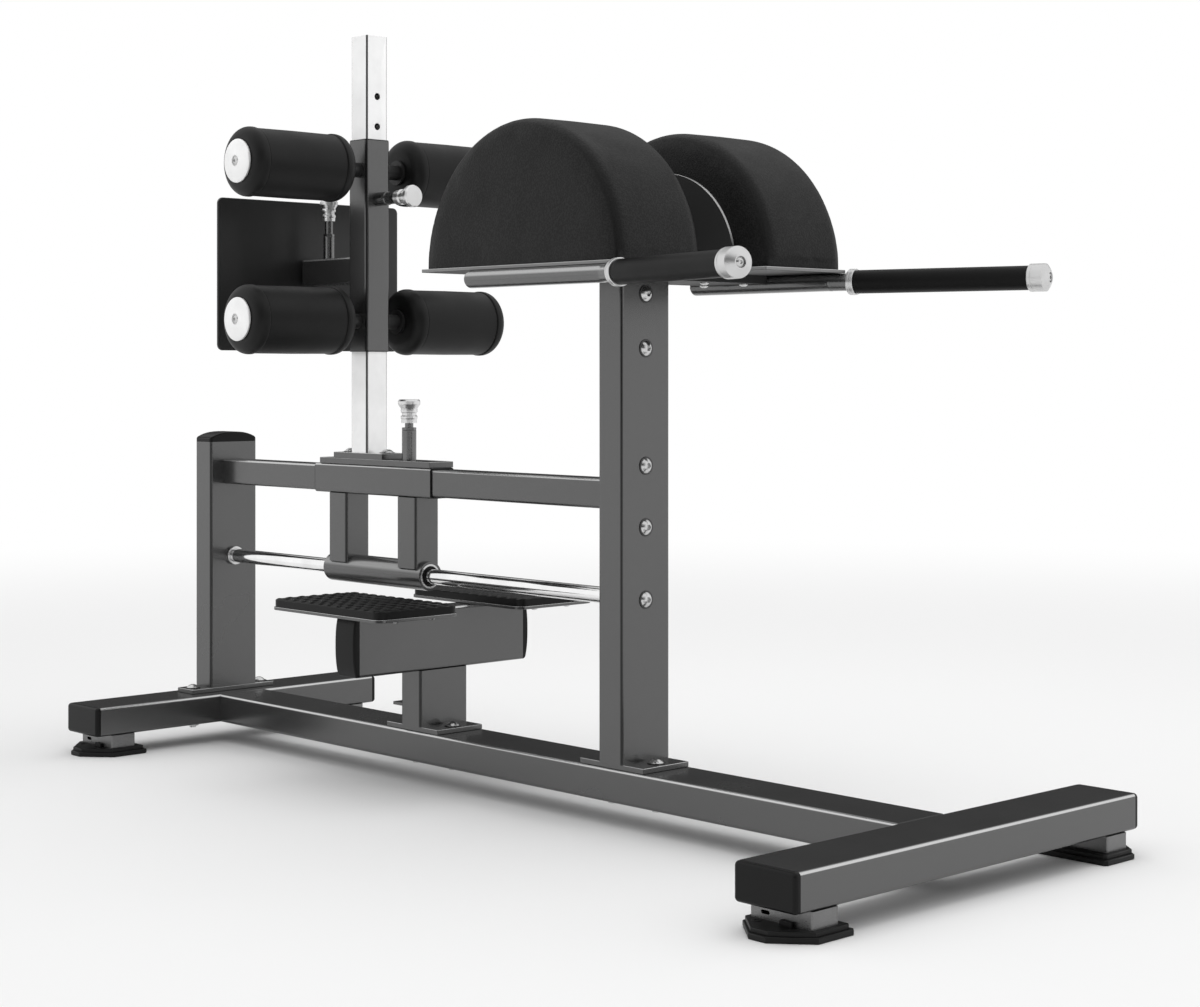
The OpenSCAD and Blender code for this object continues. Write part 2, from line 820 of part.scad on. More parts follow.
module step_treads() {
  inset = 2;
  nx = floor((step_plate_x / 2 - stud_d) / stud_pitch);
  ny = floor((step_plate_w / 2 - stud_d) / stud_pitch);
  color([0.08, 0.08, 0.08]) at_steps() translate([0, 0, tread_z]) difference() {
    union() {
      linear_extrude(tread_t) step_outline(inset);
      for (i = [-nx:nx], j = [-ny:ny])
        translate([i * stud_pitch, j * stud_pitch, tread_t - 1])
          cylinder(d = stud_d, h = stud_h + 1, $fn = 8);
    }
    at_tread_screws() translate([0, 0, -1]) cylinder(d = screw_d + fit_gap, h = tread_t - 2, $fn = 24);
  }
}

module tread_screws() {
  reach = step_plate_t + tread_t - 4;
  color("silver") at_steps() translate([0, 0, beam_top]) at_tread_screws()
    mirror([0, 0, 1]) small_screw(reach);
}

// Hip pads and what carries them

module pad_carrier() {
  side = 0.3;
  color("dimgray") difference() {
    translate([front_up_x, 0, front_top - carrier_len])
      tube_z(carrier_len, up_x - 2 * wall - 2 * side, up_y - 2 * wall - 2 * side, wall);
    for (z = carrier_bolts)
      translate([slide_front, 0, z]) along_x() bolt_hole(up_x);
  }
}

module at_seat_screws() {
  both_sides()
    for (s = [-1, 1], y = seat_screw_y)
      translate([front_up_x + s * seat_screw_x, y, 0]) children();
}

module cross_plate() {
  width = 2 * (handle_y - handle_d / 2);
  color("dimgray") translate([0, 0, cross_z]) difference() {
    translate([front_up_x, 0, 0]) linear_extrude(cross_t) square([cross_x, width], center = true);
    at_seat_screws() bolt_hole(cross_t, screw_d);
  }
}

module seat_plates() {
  plate_in = pad_in - seat_t;
  color("gray") difference() {
    both_sides() translate([front_up_x, plate_in, seat_z]) {
      translate([-seat_x / 2, 0, 0]) cube([seat_x, seat_t + pad_w, seat_t]);
      translate([0, 0, seat_t]) intersection() {
        along_y() cylinder(r = back_r, h = seat_t, $fn = 96);
        translate([-back_r, -1, -1]) cube([2 * back_r, seat_t + 2, back_r + 2]);
      }
    }
    translate([0, 0, seat_z]) at_seat_screws() bolt_hole(seat_t, screw_d);
  }
}

module seat_screws() {
  reach = cross_t + seat_t + board_t - 2;
  color("silver") translate([0, 0, cross_z]) at_seat_screws() mirror([0, 0, 1]) small_screw(reach);
}

module pad_boards() {
  color("peru") difference() {
    both_sides() translate([front_up_x - pad_r + board_inset, pad_in + board_inset, pad_z])
      cube([2 * (pad_r - board_inset), board_y, board_t]);
    translate([0, 0, pad_z - 1]) at_seat_screws() cylinder(d = screw_d + fit_gap, h = board_t + 2, $fn = 24);
  }
}

// Rows of a pad's surface from one side to the other, as radius and offset
pad_body_r = pad_r - pad_crown;
pad_side_y = pad_w / 2 - pad_gap / 2 - pad_side_crown;
pad_flat_y = pad_side_y - pad_edge;
pad_half_rows = concat(
  [for (k = [1, 2]) [(pad_body_r - pad_edge) * k / 3, pad_side_y + pad_side_crown * (1 - k * k / 9)]],
  [for (a = [90:-18:0]) [pad_body_r - pad_edge * (1 - cos(a)), pad_flat_y + pad_edge * sin(a)]],
  [for (k = [2, 1]) [pad_body_r + pad_crown * (1 - k * k / 9), pad_flat_y * k / 3]]
);
pad_rows = concat(
  [for (row = pad_half_rows) [row[0], -row[1]]],
  [[pad_r, 0]],
  [for (i = [len(pad_half_rows) - 1:-1:0]) pad_half_rows[i]]
);
pad_turns = 36;

// Half-round cushion over its own base, crowned and drawn in at the base
module cushion() {
  last = len(pad_rows) - 1;
  function at(j, i) = 2 + j * (pad_turns + 1) + i;
  function tuck(t) = pow(1 - sin(t), 8);
  points = concat(
    [[0, -pad_side_y - pad_side_crown, 0], [0, pad_side_y + pad_side_crown, 0]],
    [for (row = pad_rows, i = [0:pad_turns])
      let (t = 180 * i / pad_turns, r = row[0] * (1 - pad_tuck / pad_r * tuck(t)))
      [r * cos(t), row[1] * (1 - pad_tuck / pad_w * tuck(t)), i == pad_turns ? 0 : r * sin(t)]]
  );
  skin = [for (j = [0:last - 1], i = [0:pad_turns - 1])
    each [[at(j, i), at(j, i + 1), at(j + 1, i + 1)], [at(j, i), at(j + 1, i + 1), at(j + 1, i)]]];
  sides = [for (i = [0:pad_turns - 1])
    each [[0, at(0, i + 1), at(0, i)], [1, at(last, i), at(last, i + 1)]]];
  base = [for (j = [0:last - 1])
    each [[at(j, 0), at(j + 1, 0), at(j + 1, pad_turns)], [at(j, 0), at(j + 1, pad_turns), at(j, pad_turns)]]];
  ends = [[0, at(0, 0), at(0, pad_turns)], [1, at(last, pad_turns), at(last, 0)]];
  polyhedron(points, concat(skin, sides, base, ends));
}

module hip_pad() {
  pocket = 0.3;
  difference() {
    translate([front_up_x, pad_in + pad_gap / 2 + pad_w / 2, pad_z]) cushion();
    translate([front_up_x - pad_r + board_inset - pocket, pad_in + board_inset - pocket, pad_z - 1])
      cube([2 * (pad_r - board_inset + pocket), board_y + 2 * pocket, board_t + pocket + 1]);
  }
}

module left_hip_pad() {
  color([0.07, 0.07, 0.07]) hip_pad();
}

module right_hip_pad() {
  color([0.07, 0.07, 0.07]) mirror([0, 1, 0]) hip_pad();
}

// Handles: draws its children on both sides with +Z along the splayed grip
module at_grips(along) {
  both_sides() translate([handle_bend, handle_y, handle_z])
    rotate([0, 0, splay]) translate([along, 0, 0]) along_x() children();
}

// Both halves of a handle: a revolved outline behind the bend, a rod past it,
// and a ball that rounds the corner where they meet
module bent_rod(outline, d, len) {
  corner = 0.3;
  rotate([0, 0, splay]) along_x() cylinder(d = d, h = len, $fn = 48);
  mirror([1, 0, 0]) along_x() rotate_extrude($fn = 48) polygon(outline);
  along_y() sphere(d / 2 + corner, $fn = 64);
}

module handle_tube() {
  far = handle_bend - handle_start;
  bore_r = handle_d / 2 - handle_wall;
  bore_far = far - handle_wall - handle_round;
  rounding = [for (a = [0:15:90])
    [handle_d / 2 - handle_round * (1 - cos(a)), far - handle_round * (1 - sin(a))]];
  translate([handle_bend, handle_y, handle_z]) difference() {
    bent_rod(concat([[0, 0], [handle_d / 2, 0]], rounding, [[0, far]]), handle_d, grip_end);
    bent_rod([[0, 0], [bore_r, 0], [bore_r, bore_far], [0, bore_far]], 2 * bore_r, grip_end + 1);
  }
}

module handle_tubes() {
  color("dimgray") both_sides() handle_tube();
}

module ring(outer, bore, len) {
  difference() {
    cylinder(d = outer, h = len, $fn = 64);
    translate([0, 0, -1]) cylinder(d = bore, h = len + 2, $fn = 64);
  }
}

module handle_collars() {
  color("silver") at_grips(grip_from - grip_collar_t)
    ring(grip_collar_d, handle_d + fit_gap, grip_collar_t);
}

module handle_grips() {
  color([0.08, 0.08, 0.08]) at_grips(grip_from) ring(grip_d, handle_d + fit_gap, grip_len);
}

module handle_end_caps() {
  color("silver") at_grips(grip_end) difference() {
    union() {
      cylinder(d = end_cap_d, h = end_cap_cyl, $fn = 64);
      translate([0, 0, end_cap_cyl])
        cylinder(d1 = end_cap_d, d2 = end_cap_face, h = end_cap_cone, $fn = 64);
      translate([0, 0, -end_cap_spigot])
        cylinder(d = handle_d - 2 * handle_wall - fit_gap, h = end_cap_spigot + 1, $fn = 48);
    }
    translate([0, 0, -end_cap_spigot - 1])
      cylinder(d = screw_d + fit_gap, h = end_cap_spigot + end_cap_cyl + end_cap_cone + 2, $fn = 24);
    translate([0, 0, end_cap_cyl + end_cap_cone - screw_head_h])
      cylinder(d = screw_head_d + 0.6, h = screw_head_h + 1, $fn = 32);
  }
}

module handle_bolts() {
  seat = end_cap_cyl + end_cap_cone - screw_head_h;
  color("silver") at_grips(grip_end + seat) small_screw(seat + end_cap_spigot / 2);
}

// Carriage

// Sleeve section over a slide tube
module sleeve_section() {
  inner = slide_w + 2 * slide_gap;
  difference() {
    round_rect(sleeve_w, sleeve_w, tube_r);
    round_rect(inner, inner, tube_r - sleeve_wall);
  }
}

// Liner that enters a sleeve at its own origin, with its rim outside
module liner() {
  inner = slide_w + 2 * slide_gap;
  bore = slide_w + 0.2;
  difference() {
    union() {
      linear_extrude(liner_len) round_rect(inner, inner, tube_r - sleeve_wall);
      translate([0, 0, -liner_rim]) linear_extrude(liner_rim)
        round_rect(sleeve_w - 1, sleeve_w - 1, tube_r);
    }
    translate([0, 0, -liner_rim - 1]) linear_extrude(liner_len + liner_rim + 2)
      round_rect(bore, bore, tube_r - sleeve_wall - 0.4);
  }
}

module carriage_sleeve() {
  color("dimgray") difference() {
    translate([-post_x - sleeve_back, 0, slide_z]) along_x()
      linear_extrude(sleeve_back + sleeve_front) sleeve_section();
    translate([pin_pos, 0, slide_z]) bolt_hole(sleeve_w, plunger_d);
  }
}

module carriage_liners() {
  color([0.1, 0.1, 0.1]) {
    translate([-post_x - sleeve_back, 0, slide_z]) along_x() liner();
    translate([-post_x + sleeve_front, 0, slide_z]) mirror([1, 0, 0]) along_x() liner();
  }
}

module at_post_bolts() {
  for (s = [-1, 1])
    translate([-post_x + s * post_bolt_x, 0, 0]) children();
}

module carriage_plate() {
  color("dimgray") difference() {
    translate([-post_x - plate_back, -sleeve_w / 2, sleeve_top])
      cube([plate_back + plate_front, sleeve_w, plate_t]);
    translate([pin_pos, 0, sleeve_top]) bolt_hole(plate_t, plunger_d);
    translate([0, 0, sleeve_top]) at_post_bolts() translate([0, 0, 1])
      cylinder(d = bolt_d + fit_gap, h = plate_t, $fn = 32);
  }
}

module carriage_legs() {
  low = rod_z + leg_over_rod;
  color("dimgray") difference() {
    for (x = [-post_x - leg_back, -post_x + leg_front])
      translate([x, 0, low]) tube_z(sleeve_low - low, leg_w, leg_w, wall);
    translate([-post_x - bush_back - 20, 0, rod_z]) along_x()
      cylinder(d = bush_tube_d + fit_gap, h = bush_back + bush_front + 40, $fn = 64);
  }
}

module bushing_tube() {
  color("dimgray") translate([-post_x - bush_back, 0, rod_z]) along_x()
    ring(bush_tube_d, bush_tube_d - 2 * bush_wall, bush_back + bush_front);
}

// Draws its children at both ends of the bushing tube, with +Z pointing inward
module at_bush_ends() {
  translate([-post_x - bush_back, 0, rod_z]) along_x() children();
  translate([-post_x + bush_front, 0, rod_z]) mirror([1, 0, 0]) along_x() children();
}

module rod_bushes() {
  color("darkgoldenrod") at_bush_ends() translate([0, 0, snap_t + seal_t])
    ring(bush_tube_d - 2 * bush_wall - fit_gap, rod_d + 2 * run_gap, bush_len);
}

module bush_seals() {
  color([0.1, 0.1, 0.1]) at_bush_ends() translate([0, 0, snap_t])
    ring(bush_tube_d - 2 * bush_wall - fit_gap, rod_d + 0.6, seal_t);
}

module snap_rings() {
  color("silver") at_bush_ends()
    ring(bush_tube_d - 2 * bush_wall - fit_gap, bush_tube_d - 2 * bush_wall - 6, snap_t);
}

module ankle_post() {
  color("white") difference() {
    union() {
      translate([-post_x, 0, post_z]) tube_z(post_len, slide_w, slide_w, slide_wall);
      translate([-post_x, 0, post_top - slide_wall]) linear_extrude(slide_wall)
        round_rect(slide_w, slide_w, tube_r);
      translate([-post_x - post_flange_x / 2, -sleeve_w / 2, flange_z])
        cube([post_flange_x, sleeve_w, plate_t]);
    }
    translate([0, 0, flange_z]) at_post_bolts() bolt_hole(plate_t);
    for (i = [0:post_holes - 1])
      translate([-post_x, 0, post_top - post_hole_down - i * post_pitch]) along_x()
        cylinder(d = hole_d, h = slide_w, $fn = 32);
  }
}

module post_bolts() {
  color("silver") translate([0, 0, post_z]) at_post_bolts() button_bolt(2 * plate_t - 2);
}

// Locating pins, drawn along +Z from the face that carries them

module pin_barrel(d, h, lock, lock_d, neck) {
  chamfer = 1;
  difference() {
    union() {
      cylinder(d = d, h = h - chamfer, $fn = 48);
      translate([0, 0, h - chamfer]) cylinder(d1 = d, d2 = d - 2 * chamfer, h = chamfer, $fn = 48);
      translate([0, 0, h]) cylinder(d = lock_d, h = lock, $fn = 6);
      translate([0, 0, h]) cylinder(d = neck_d, h = lock + neck - tip_gap, $fn = 32);
    }
    translate([0, 0, -1]) cylinder(d = plunger_d + 2 * run_gap, h = h + lock + neck + 2, $fn = 32);
  }
}

// Knob that widens upward, with two ribs and a domed top
module pin_knob(h, low_d, top_d) {
  rib = 1;
  rotate_extrude($fn = 64) polygon([
    [0, 0],
    [low_d / 2, 0],
    [low_d / 2, h * 0.16],
    [low_d / 2 + rib, h * 0.2],
    [low_d / 2 + rib, h * 0.28],
    [low_d / 2 - rib, h * 0.33],
    [low_d / 2 - rib, h * 0.42],
    [low_d / 2 + rib, h * 0.47],
    [low_d / 2 + rib, h * 0.54],
    [low_d / 2 + rib / 2, h * 0.6],
    [top_d / 2, h * 0.8],
    [top_d / 2, h * 0.93],
    [top_d / 2 - 2, h],
    [0, h],
  ]);
}

// Plunger from its tip, depth below the face, up to the knob
module pin_plunger(depth, up, h, low_d, top_d) {
  tip = 2;
  translate([0, 0, -depth]) cylinder(d1 = plunger_d - 2, d2 = plunger_d, h = tip, $fn = 32);
  translate([0, 0, tip - depth]) cylinder(d = plunger_d, h = up + depth - tip + 1, $fn = 32);
  translate([0, 0, up]) pin_knob(h, low_d, top_d);
}

module at_carriage_pin() {
  translate([pin_pos, 0, flange_z]) children();
}

module at_ankle_pin() {
  translate([-post_x + sleeve_w / 2, 0, ankle_z + ankle_pin_up]) along_x() children();
}

module at_foot_pin() {
  translate([foot_pin_pos, 0, foot_tube_z + slide_w / 2]) children();
}

module carriage_pin_barrel() {
  color([0.25, 0.25, 0.25]) at_carriage_pin()
    pin_barrel(barrel_d, barrel_h, lock_h, barrel_d, neck_h);
}

module carriage_pin() {
  color("silver") at_carriage_pin() pin_plunger(
    flange_z - slide_top - tip_gap, barrel_h + lock_h + neck_h, knob_h, knob_d * 0.7, knob_d);
}

module ankle_pin_barrel() {
  color([0.25, 0.25, 0.25]) at_ankle_pin()
    pin_barrel(ankle_barrel_d, ankle_barrel_h, ankle_lock_h, ankle_barrel_d - 1, ankle_neck_h);
}

module ankle_pin() {
  color("silver") at_ankle_pin() pin_plunger(
    sleeve_wall + slide_gap - tip_gap, ankle_barrel_h + ankle_lock_h + ankle_neck_h,
    ankle_knob_h, knob_d * 0.65, knob_d);
}

module foot_pin_barrel() {
  color([0.25, 0.25, 0.25]) at_foot_pin()
    pin_barrel(foot_barrel_d, foot_barrel_h, lock_h, foot_barrel_d, foot_neck_h);
}

module foot_pin() {
  color("silver") at_foot_pin() pin_plunger(
    foot_tube_wall + foot_gap - tip_gap, foot_barrel_h + lock_h + foot_neck_h,
    foot_knob_h, foot_knob_d * 0.7, foot_knob_d);
}

// Ankle support

module ankle_sleeve() {
  seam_w = 0.8;
  color("dimgray") difference() {
    translate([-post_x, 0, ankle_z]) linear_extrude(ankle_len) sleeve_section();
    translate([-post_x, 0, ankle_z + ankle_pin_up]) along_x() bolt_hole(sleeve_w, plunger_d);
    translate([-post_x, 0, ankle_z + seam_up]) difference() {
      translate([-sleeve_w / 2 - 1, -sleeve_w / 2 - 1, 0]) cube([sleeve_w + 2, sleeve_w + 2, seam_w]);
      translate([0, 0, -1]) linear_extrude(seam_w + 2) round_rect(sleeve_w - 0.8, sleeve_w - 0.8, tube_r);
    }
  }
}

module ankle_liners() {
  color([0.1, 0.1, 0.1]) {
    translate([-post_x, 0, ankle_z]) liner();
    translate([-post_x, 0, ankle_top]) mirror([0, 0, 1]) liner();
  }
}

// Draws its children at both roller axles of one side, with +Z pointing outward
module at_axles(heights = roller_z) {
  for (z = heights)
    translate([-post_x, sleeve_w / 2, z]) along_y() children();
}

module roller_axles() {
  len = axle_end - sleeve_w / 2;
  solid_end = 30;
  color("gray") both_sides() at_axles() difference() {
    union() {
      cylinder(d = axle_d, h = len, $fn = 48);
      translate([0, 0, roller_in - sleeve_w / 2 - pad_gap - stop_t]) cylinder(d = stop_d, h = stop_t, $fn = 48);
    }
    translate([0, 0, -1]) cylinder(d = axle_d - 2 * wall, h = len - solid_end + 1, $fn = 48);
    translate([0, 0, len - solid_end - 1]) cylinder(d = screw_d + fit_gap, h = solid_end + 2, $fn = 24);
  }
}

module roller_discs() {
  ball = (pow(disc_d / 2, 2) + pow(disc_dome, 2)) / (2 * disc_dome);
  full = asin(disc_d / 2 / ball);
  dome = [for (i = [6:-1:0]) [ball * sin(full * i / 6), disc_t + disc_dome - ball * (1 - cos(full * i / 6))]];
  color("silver") both_sides() at_axles() translate([0, 0, axle_end - sleeve_w / 2]) difference() {
    rotate_extrude($fn = 96) polygon(concat([[0, 0], [disc_d / 2, 0]], dome));
    translate([0, 0, -1]) cylinder(d = screw_d + fit_gap, h = disc_t + disc_dome + 2, $fn = 24);
    translate([0, 0, disc_t]) cylinder(d = screw_head_d + 3, h = disc_dome + 1, $fn = 32);
  }
}

module disc_bolts() {
  color("silver") both_sides() at_axles() translate([0, 0, axle_end - sleeve_w / 2 + disc_t])
    small_screw(disc_t + 20);
}

// Outline of a roller from its inner end, as radius and height
function band_arc(z, turn) = [for (a = [0:15:90])
  [roller_end_d / 2 - roller_round * (1 - sin(a)), z + turn * roller_round * (1 - cos(a))]];
roller_profile = concat(
  [[axle_d / 2 + run_gap, 0]],
  band_arc(0, 1),
  [[roller_end_d / 2, roller_band - 2], [roller_d / 2 - 1, roller_band]],
  [[roller_d / 2, roller_band + 3], [roller_d / 2 + 0.5, roller_len / 2]],
  [[roller_d / 2, roller_len - roller_band - 3], [roller_d / 2 - 1, roller_len - roller_band]],
  [[roller_end_d / 2, roller_len - roller_band + 2]],
  [for (i = [6:-1:0]) band_arc(roller_len, -1)[i]],
  [[axle_d / 2 + run_gap, roller_len]]
);

module roller(z) {
  color([0.08, 0.08, 0.08]) translate([-post_x, roller_in, z]) along_y()
    rotate_extrude($fn = 96) polygon(roller_profile);
}

module upper_left_roller() {
  roller(roller_z[1]);
}

module upper_right_roller() {
  mirror([0, 1, 0]) roller(roller_z[1]);
}

module lower_left_roller() {
  roller(roller_z[0]);
}

module lower_right_roller() {
  mirror([0, 1, 0]) roller(roller_z[0]);
}

// Foot plate and its two tubes

module foot_tube() {
  color("dimgray") difference() {
    translate([foot_tube_end, 0, foot_tube_z]) tube_x(foot_tube_len, slide_w, slide_w, foot_tube_wall);
    translate([foot_pin_pos, 0, foot_tube_z]) bolt_hole(slide_w, plunger_d);
  }
}

module foot_plate() {
  travel_len = ankle_back - foot_stop - foot_plate_x;
  mid_z = ankle_z + foot_plate_up + foot_plate_z / 2;
  color([0.15, 0.15, 0.15]) {
    translate([foot_plate_x - foot_plate_t, 0, mid_z]) along_x()
      linear_extrude(foot_plate_t) round_rect(2 * foot_plate_y, foot_plate_z, foot_plate_r);
    difference() {
      translate([foot_plate_x, 0, foot_tube_z]) along_x() linear_extrude(travel_len) difference() {
        round_rect(foot_slide_w, foot_slide_w, 3);
        round_rect(foot_slide_w - 5, foot_slide_w - 5, 1);
      }
      for (i = [0:foot_holes])
        translate([foot_pin_pos + i * foot_pitch, 0, foot_tube_z])
          cylinder(d = hole_d, h = slide_w, $fn = 32);
    }
  }
}

base_rail();
front_crossbar();
rear_crossbar();
crossbar_caps();
foot_risers();
rubber_feet();
foot_screws();
mounting_flanges();
rear_upright();
front_upright();
domed_caps();
upper_rail();
guide_rod();
rod_collars();
frame_bolts();
frame_nuts();
step_stub();
step_beam();
step_plates();
step_treads();
tread_screws();
pad_carrier();
cross_plate();
seat_plates();
seat_screws();
pad_boards();
left_hip_pad();
right_hip_pad();
handle_tubes();
handle_collars();
handle_grips();
handle_end_caps();
handle_bolts();
carriage_sleeve();
carriage_liners();
carriage_plate();
carriage_legs();
bushing_tube();
rod_bushes();
bush_seals();
snap_rings();
ankle_post();
post_bolts();
carriage_pin_barrel();
carriage_pin();
ankle_sleeve();
ankle_liners();
roller_axles();
roller_discs();
disc_bolts();
ankle_pin_barrel();
ankle_pin();
foot_tube();
foot_pin_barrel();
foot_pin();
foot_plate();
upper_left_roller();
upper_right_roller();
lower_left_roller();
lower_right_roller();
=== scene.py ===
"""Dresses the glute-ham bench: finishes, detailed pieces, padded pads and rollers, camera and light."""

from __future__ import annotations

import json
import logging
import math
from dataclasses import dataclass, replace
from enum import Enum
from typing import Any, Iterable, Sequence

import bmesh
import bpy
from bmesh.types import BMEdge, BMesh, BMVert
from bpy.types import Material, Mesh, Node, NodeSocket, NodeTree, Object
from mathutils import Matrix, Vector

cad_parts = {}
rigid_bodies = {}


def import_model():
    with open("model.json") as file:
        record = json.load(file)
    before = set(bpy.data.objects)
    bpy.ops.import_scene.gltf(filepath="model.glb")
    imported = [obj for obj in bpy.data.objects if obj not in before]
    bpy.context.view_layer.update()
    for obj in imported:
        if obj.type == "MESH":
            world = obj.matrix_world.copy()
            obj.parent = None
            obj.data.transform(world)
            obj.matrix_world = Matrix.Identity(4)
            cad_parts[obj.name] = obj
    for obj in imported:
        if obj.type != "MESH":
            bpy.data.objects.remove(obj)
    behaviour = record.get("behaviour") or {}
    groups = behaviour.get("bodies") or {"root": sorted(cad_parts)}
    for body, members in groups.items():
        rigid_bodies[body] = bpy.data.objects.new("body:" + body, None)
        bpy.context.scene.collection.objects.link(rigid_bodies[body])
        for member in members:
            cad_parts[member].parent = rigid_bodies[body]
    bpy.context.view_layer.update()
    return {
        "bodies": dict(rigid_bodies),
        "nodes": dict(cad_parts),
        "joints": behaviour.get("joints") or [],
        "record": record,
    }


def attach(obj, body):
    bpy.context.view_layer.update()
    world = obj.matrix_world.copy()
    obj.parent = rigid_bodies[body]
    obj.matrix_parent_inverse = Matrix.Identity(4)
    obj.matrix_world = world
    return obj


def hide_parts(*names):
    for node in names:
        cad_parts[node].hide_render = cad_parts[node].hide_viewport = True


LOG = logging.getLogger("bench")
Point = tuple[float, float, float]
Pair = tuple[float, float]
Profile = Sequence[Pair]

TINY = 1e-6
SWAP_YZ = Matrix(((1, 0, 0, 0), (0, 0, 1, 0), (0, 1, 0, 0), (0, 0, 0, 1)))
# A washer's outline, as radius and height
WASHER = (0.0105, 0.0), (0.0132, 0.0), (0.0135, 0.0003), (0.0135, 0.0009), (0.0131, 0.0012), (0.0105, 0.0012)
# The range that a noise pattern mostly stays in
PATTERN_LOW, PATTERN_HIGH = 0.3, 0.7
# A Mix node's two inputs and its output when it mixes colours
COLOUR_A, COLOUR_B, COLOUR_OUT = 6, 7, 2


class Body(Enum):
    """The bodies that several pieces ride on. A roller's body has the roller's own name."""

    FRAME = "frame"
    CARRIAGE = "carriage"
    ANKLE = "ankle_support"
    FOOT = "foot_support"


class Side(Enum):
    """The two sides of the middle plane."""

    LEFT = 1
    RIGHT = -1

    @property
    def flip(self) -> Matrix:
        """A matrix that takes a left piece to this side."""
        return Matrix.Diagonal((1, self.value, 1, 1))


class Grain(Enum):
    """Which small relief a moulding has."""

    LEATHER = "leather"
    PORES = "pores"
    MOULDED = "moulded"


# Shader nodes


class Nodes:
    """A node tree in the making."""

    def __init__(self, tree: NodeTree) -> None:
        """Keeps the tree."""
        self.tree = tree

    def add(self, kind: str, *sources: float | NodeSocket, **values: Any) -> Node:
        """Adds a node.

        Args:
            kind: the node's type.
            sources: what its first inputs take, in order: other nodes' outputs, or numbers.
            values: properties of the node, or values of its inputs by name.

        Returns:
            The new node.
        """
        node = self.tree.nodes.new(kind)
        for key, value in values.items():
            if hasattr(node, key):
                setattr(node, key, value)
            else:
                node.inputs[key.replace("_", " ").title()].default_value = value
        for i, source in enumerate(sources):
            if isinstance(source, NodeSocket):
                self.link(source, node, i)
            else:
                node.inputs[i].default_value = source
        return node

    def link(self, source: NodeSocket, node: Node, socket: str | int) -> None:
        """Links an output to a node's input."""
        self.tree.links.new(source, node.inputs[socket])

    def compute(self, operation: str, *values: float | NodeSocket) -> NodeSocket:
        """The result of a Math node on numbers or outputs."""
        return self.add("ShaderNodeMath", *values, operation=operation).outputs[0]

    def ease(self, value: NodeSocket, low: float, high: float) -> NodeSocket:
        """A value eased from 0 at a low bound to 1 at a high one."""
        node = self.add("ShaderNodeMapRange", value, low, high, interpolation_type="SMOOTHSTEP")
        return node.outputs["Result"]


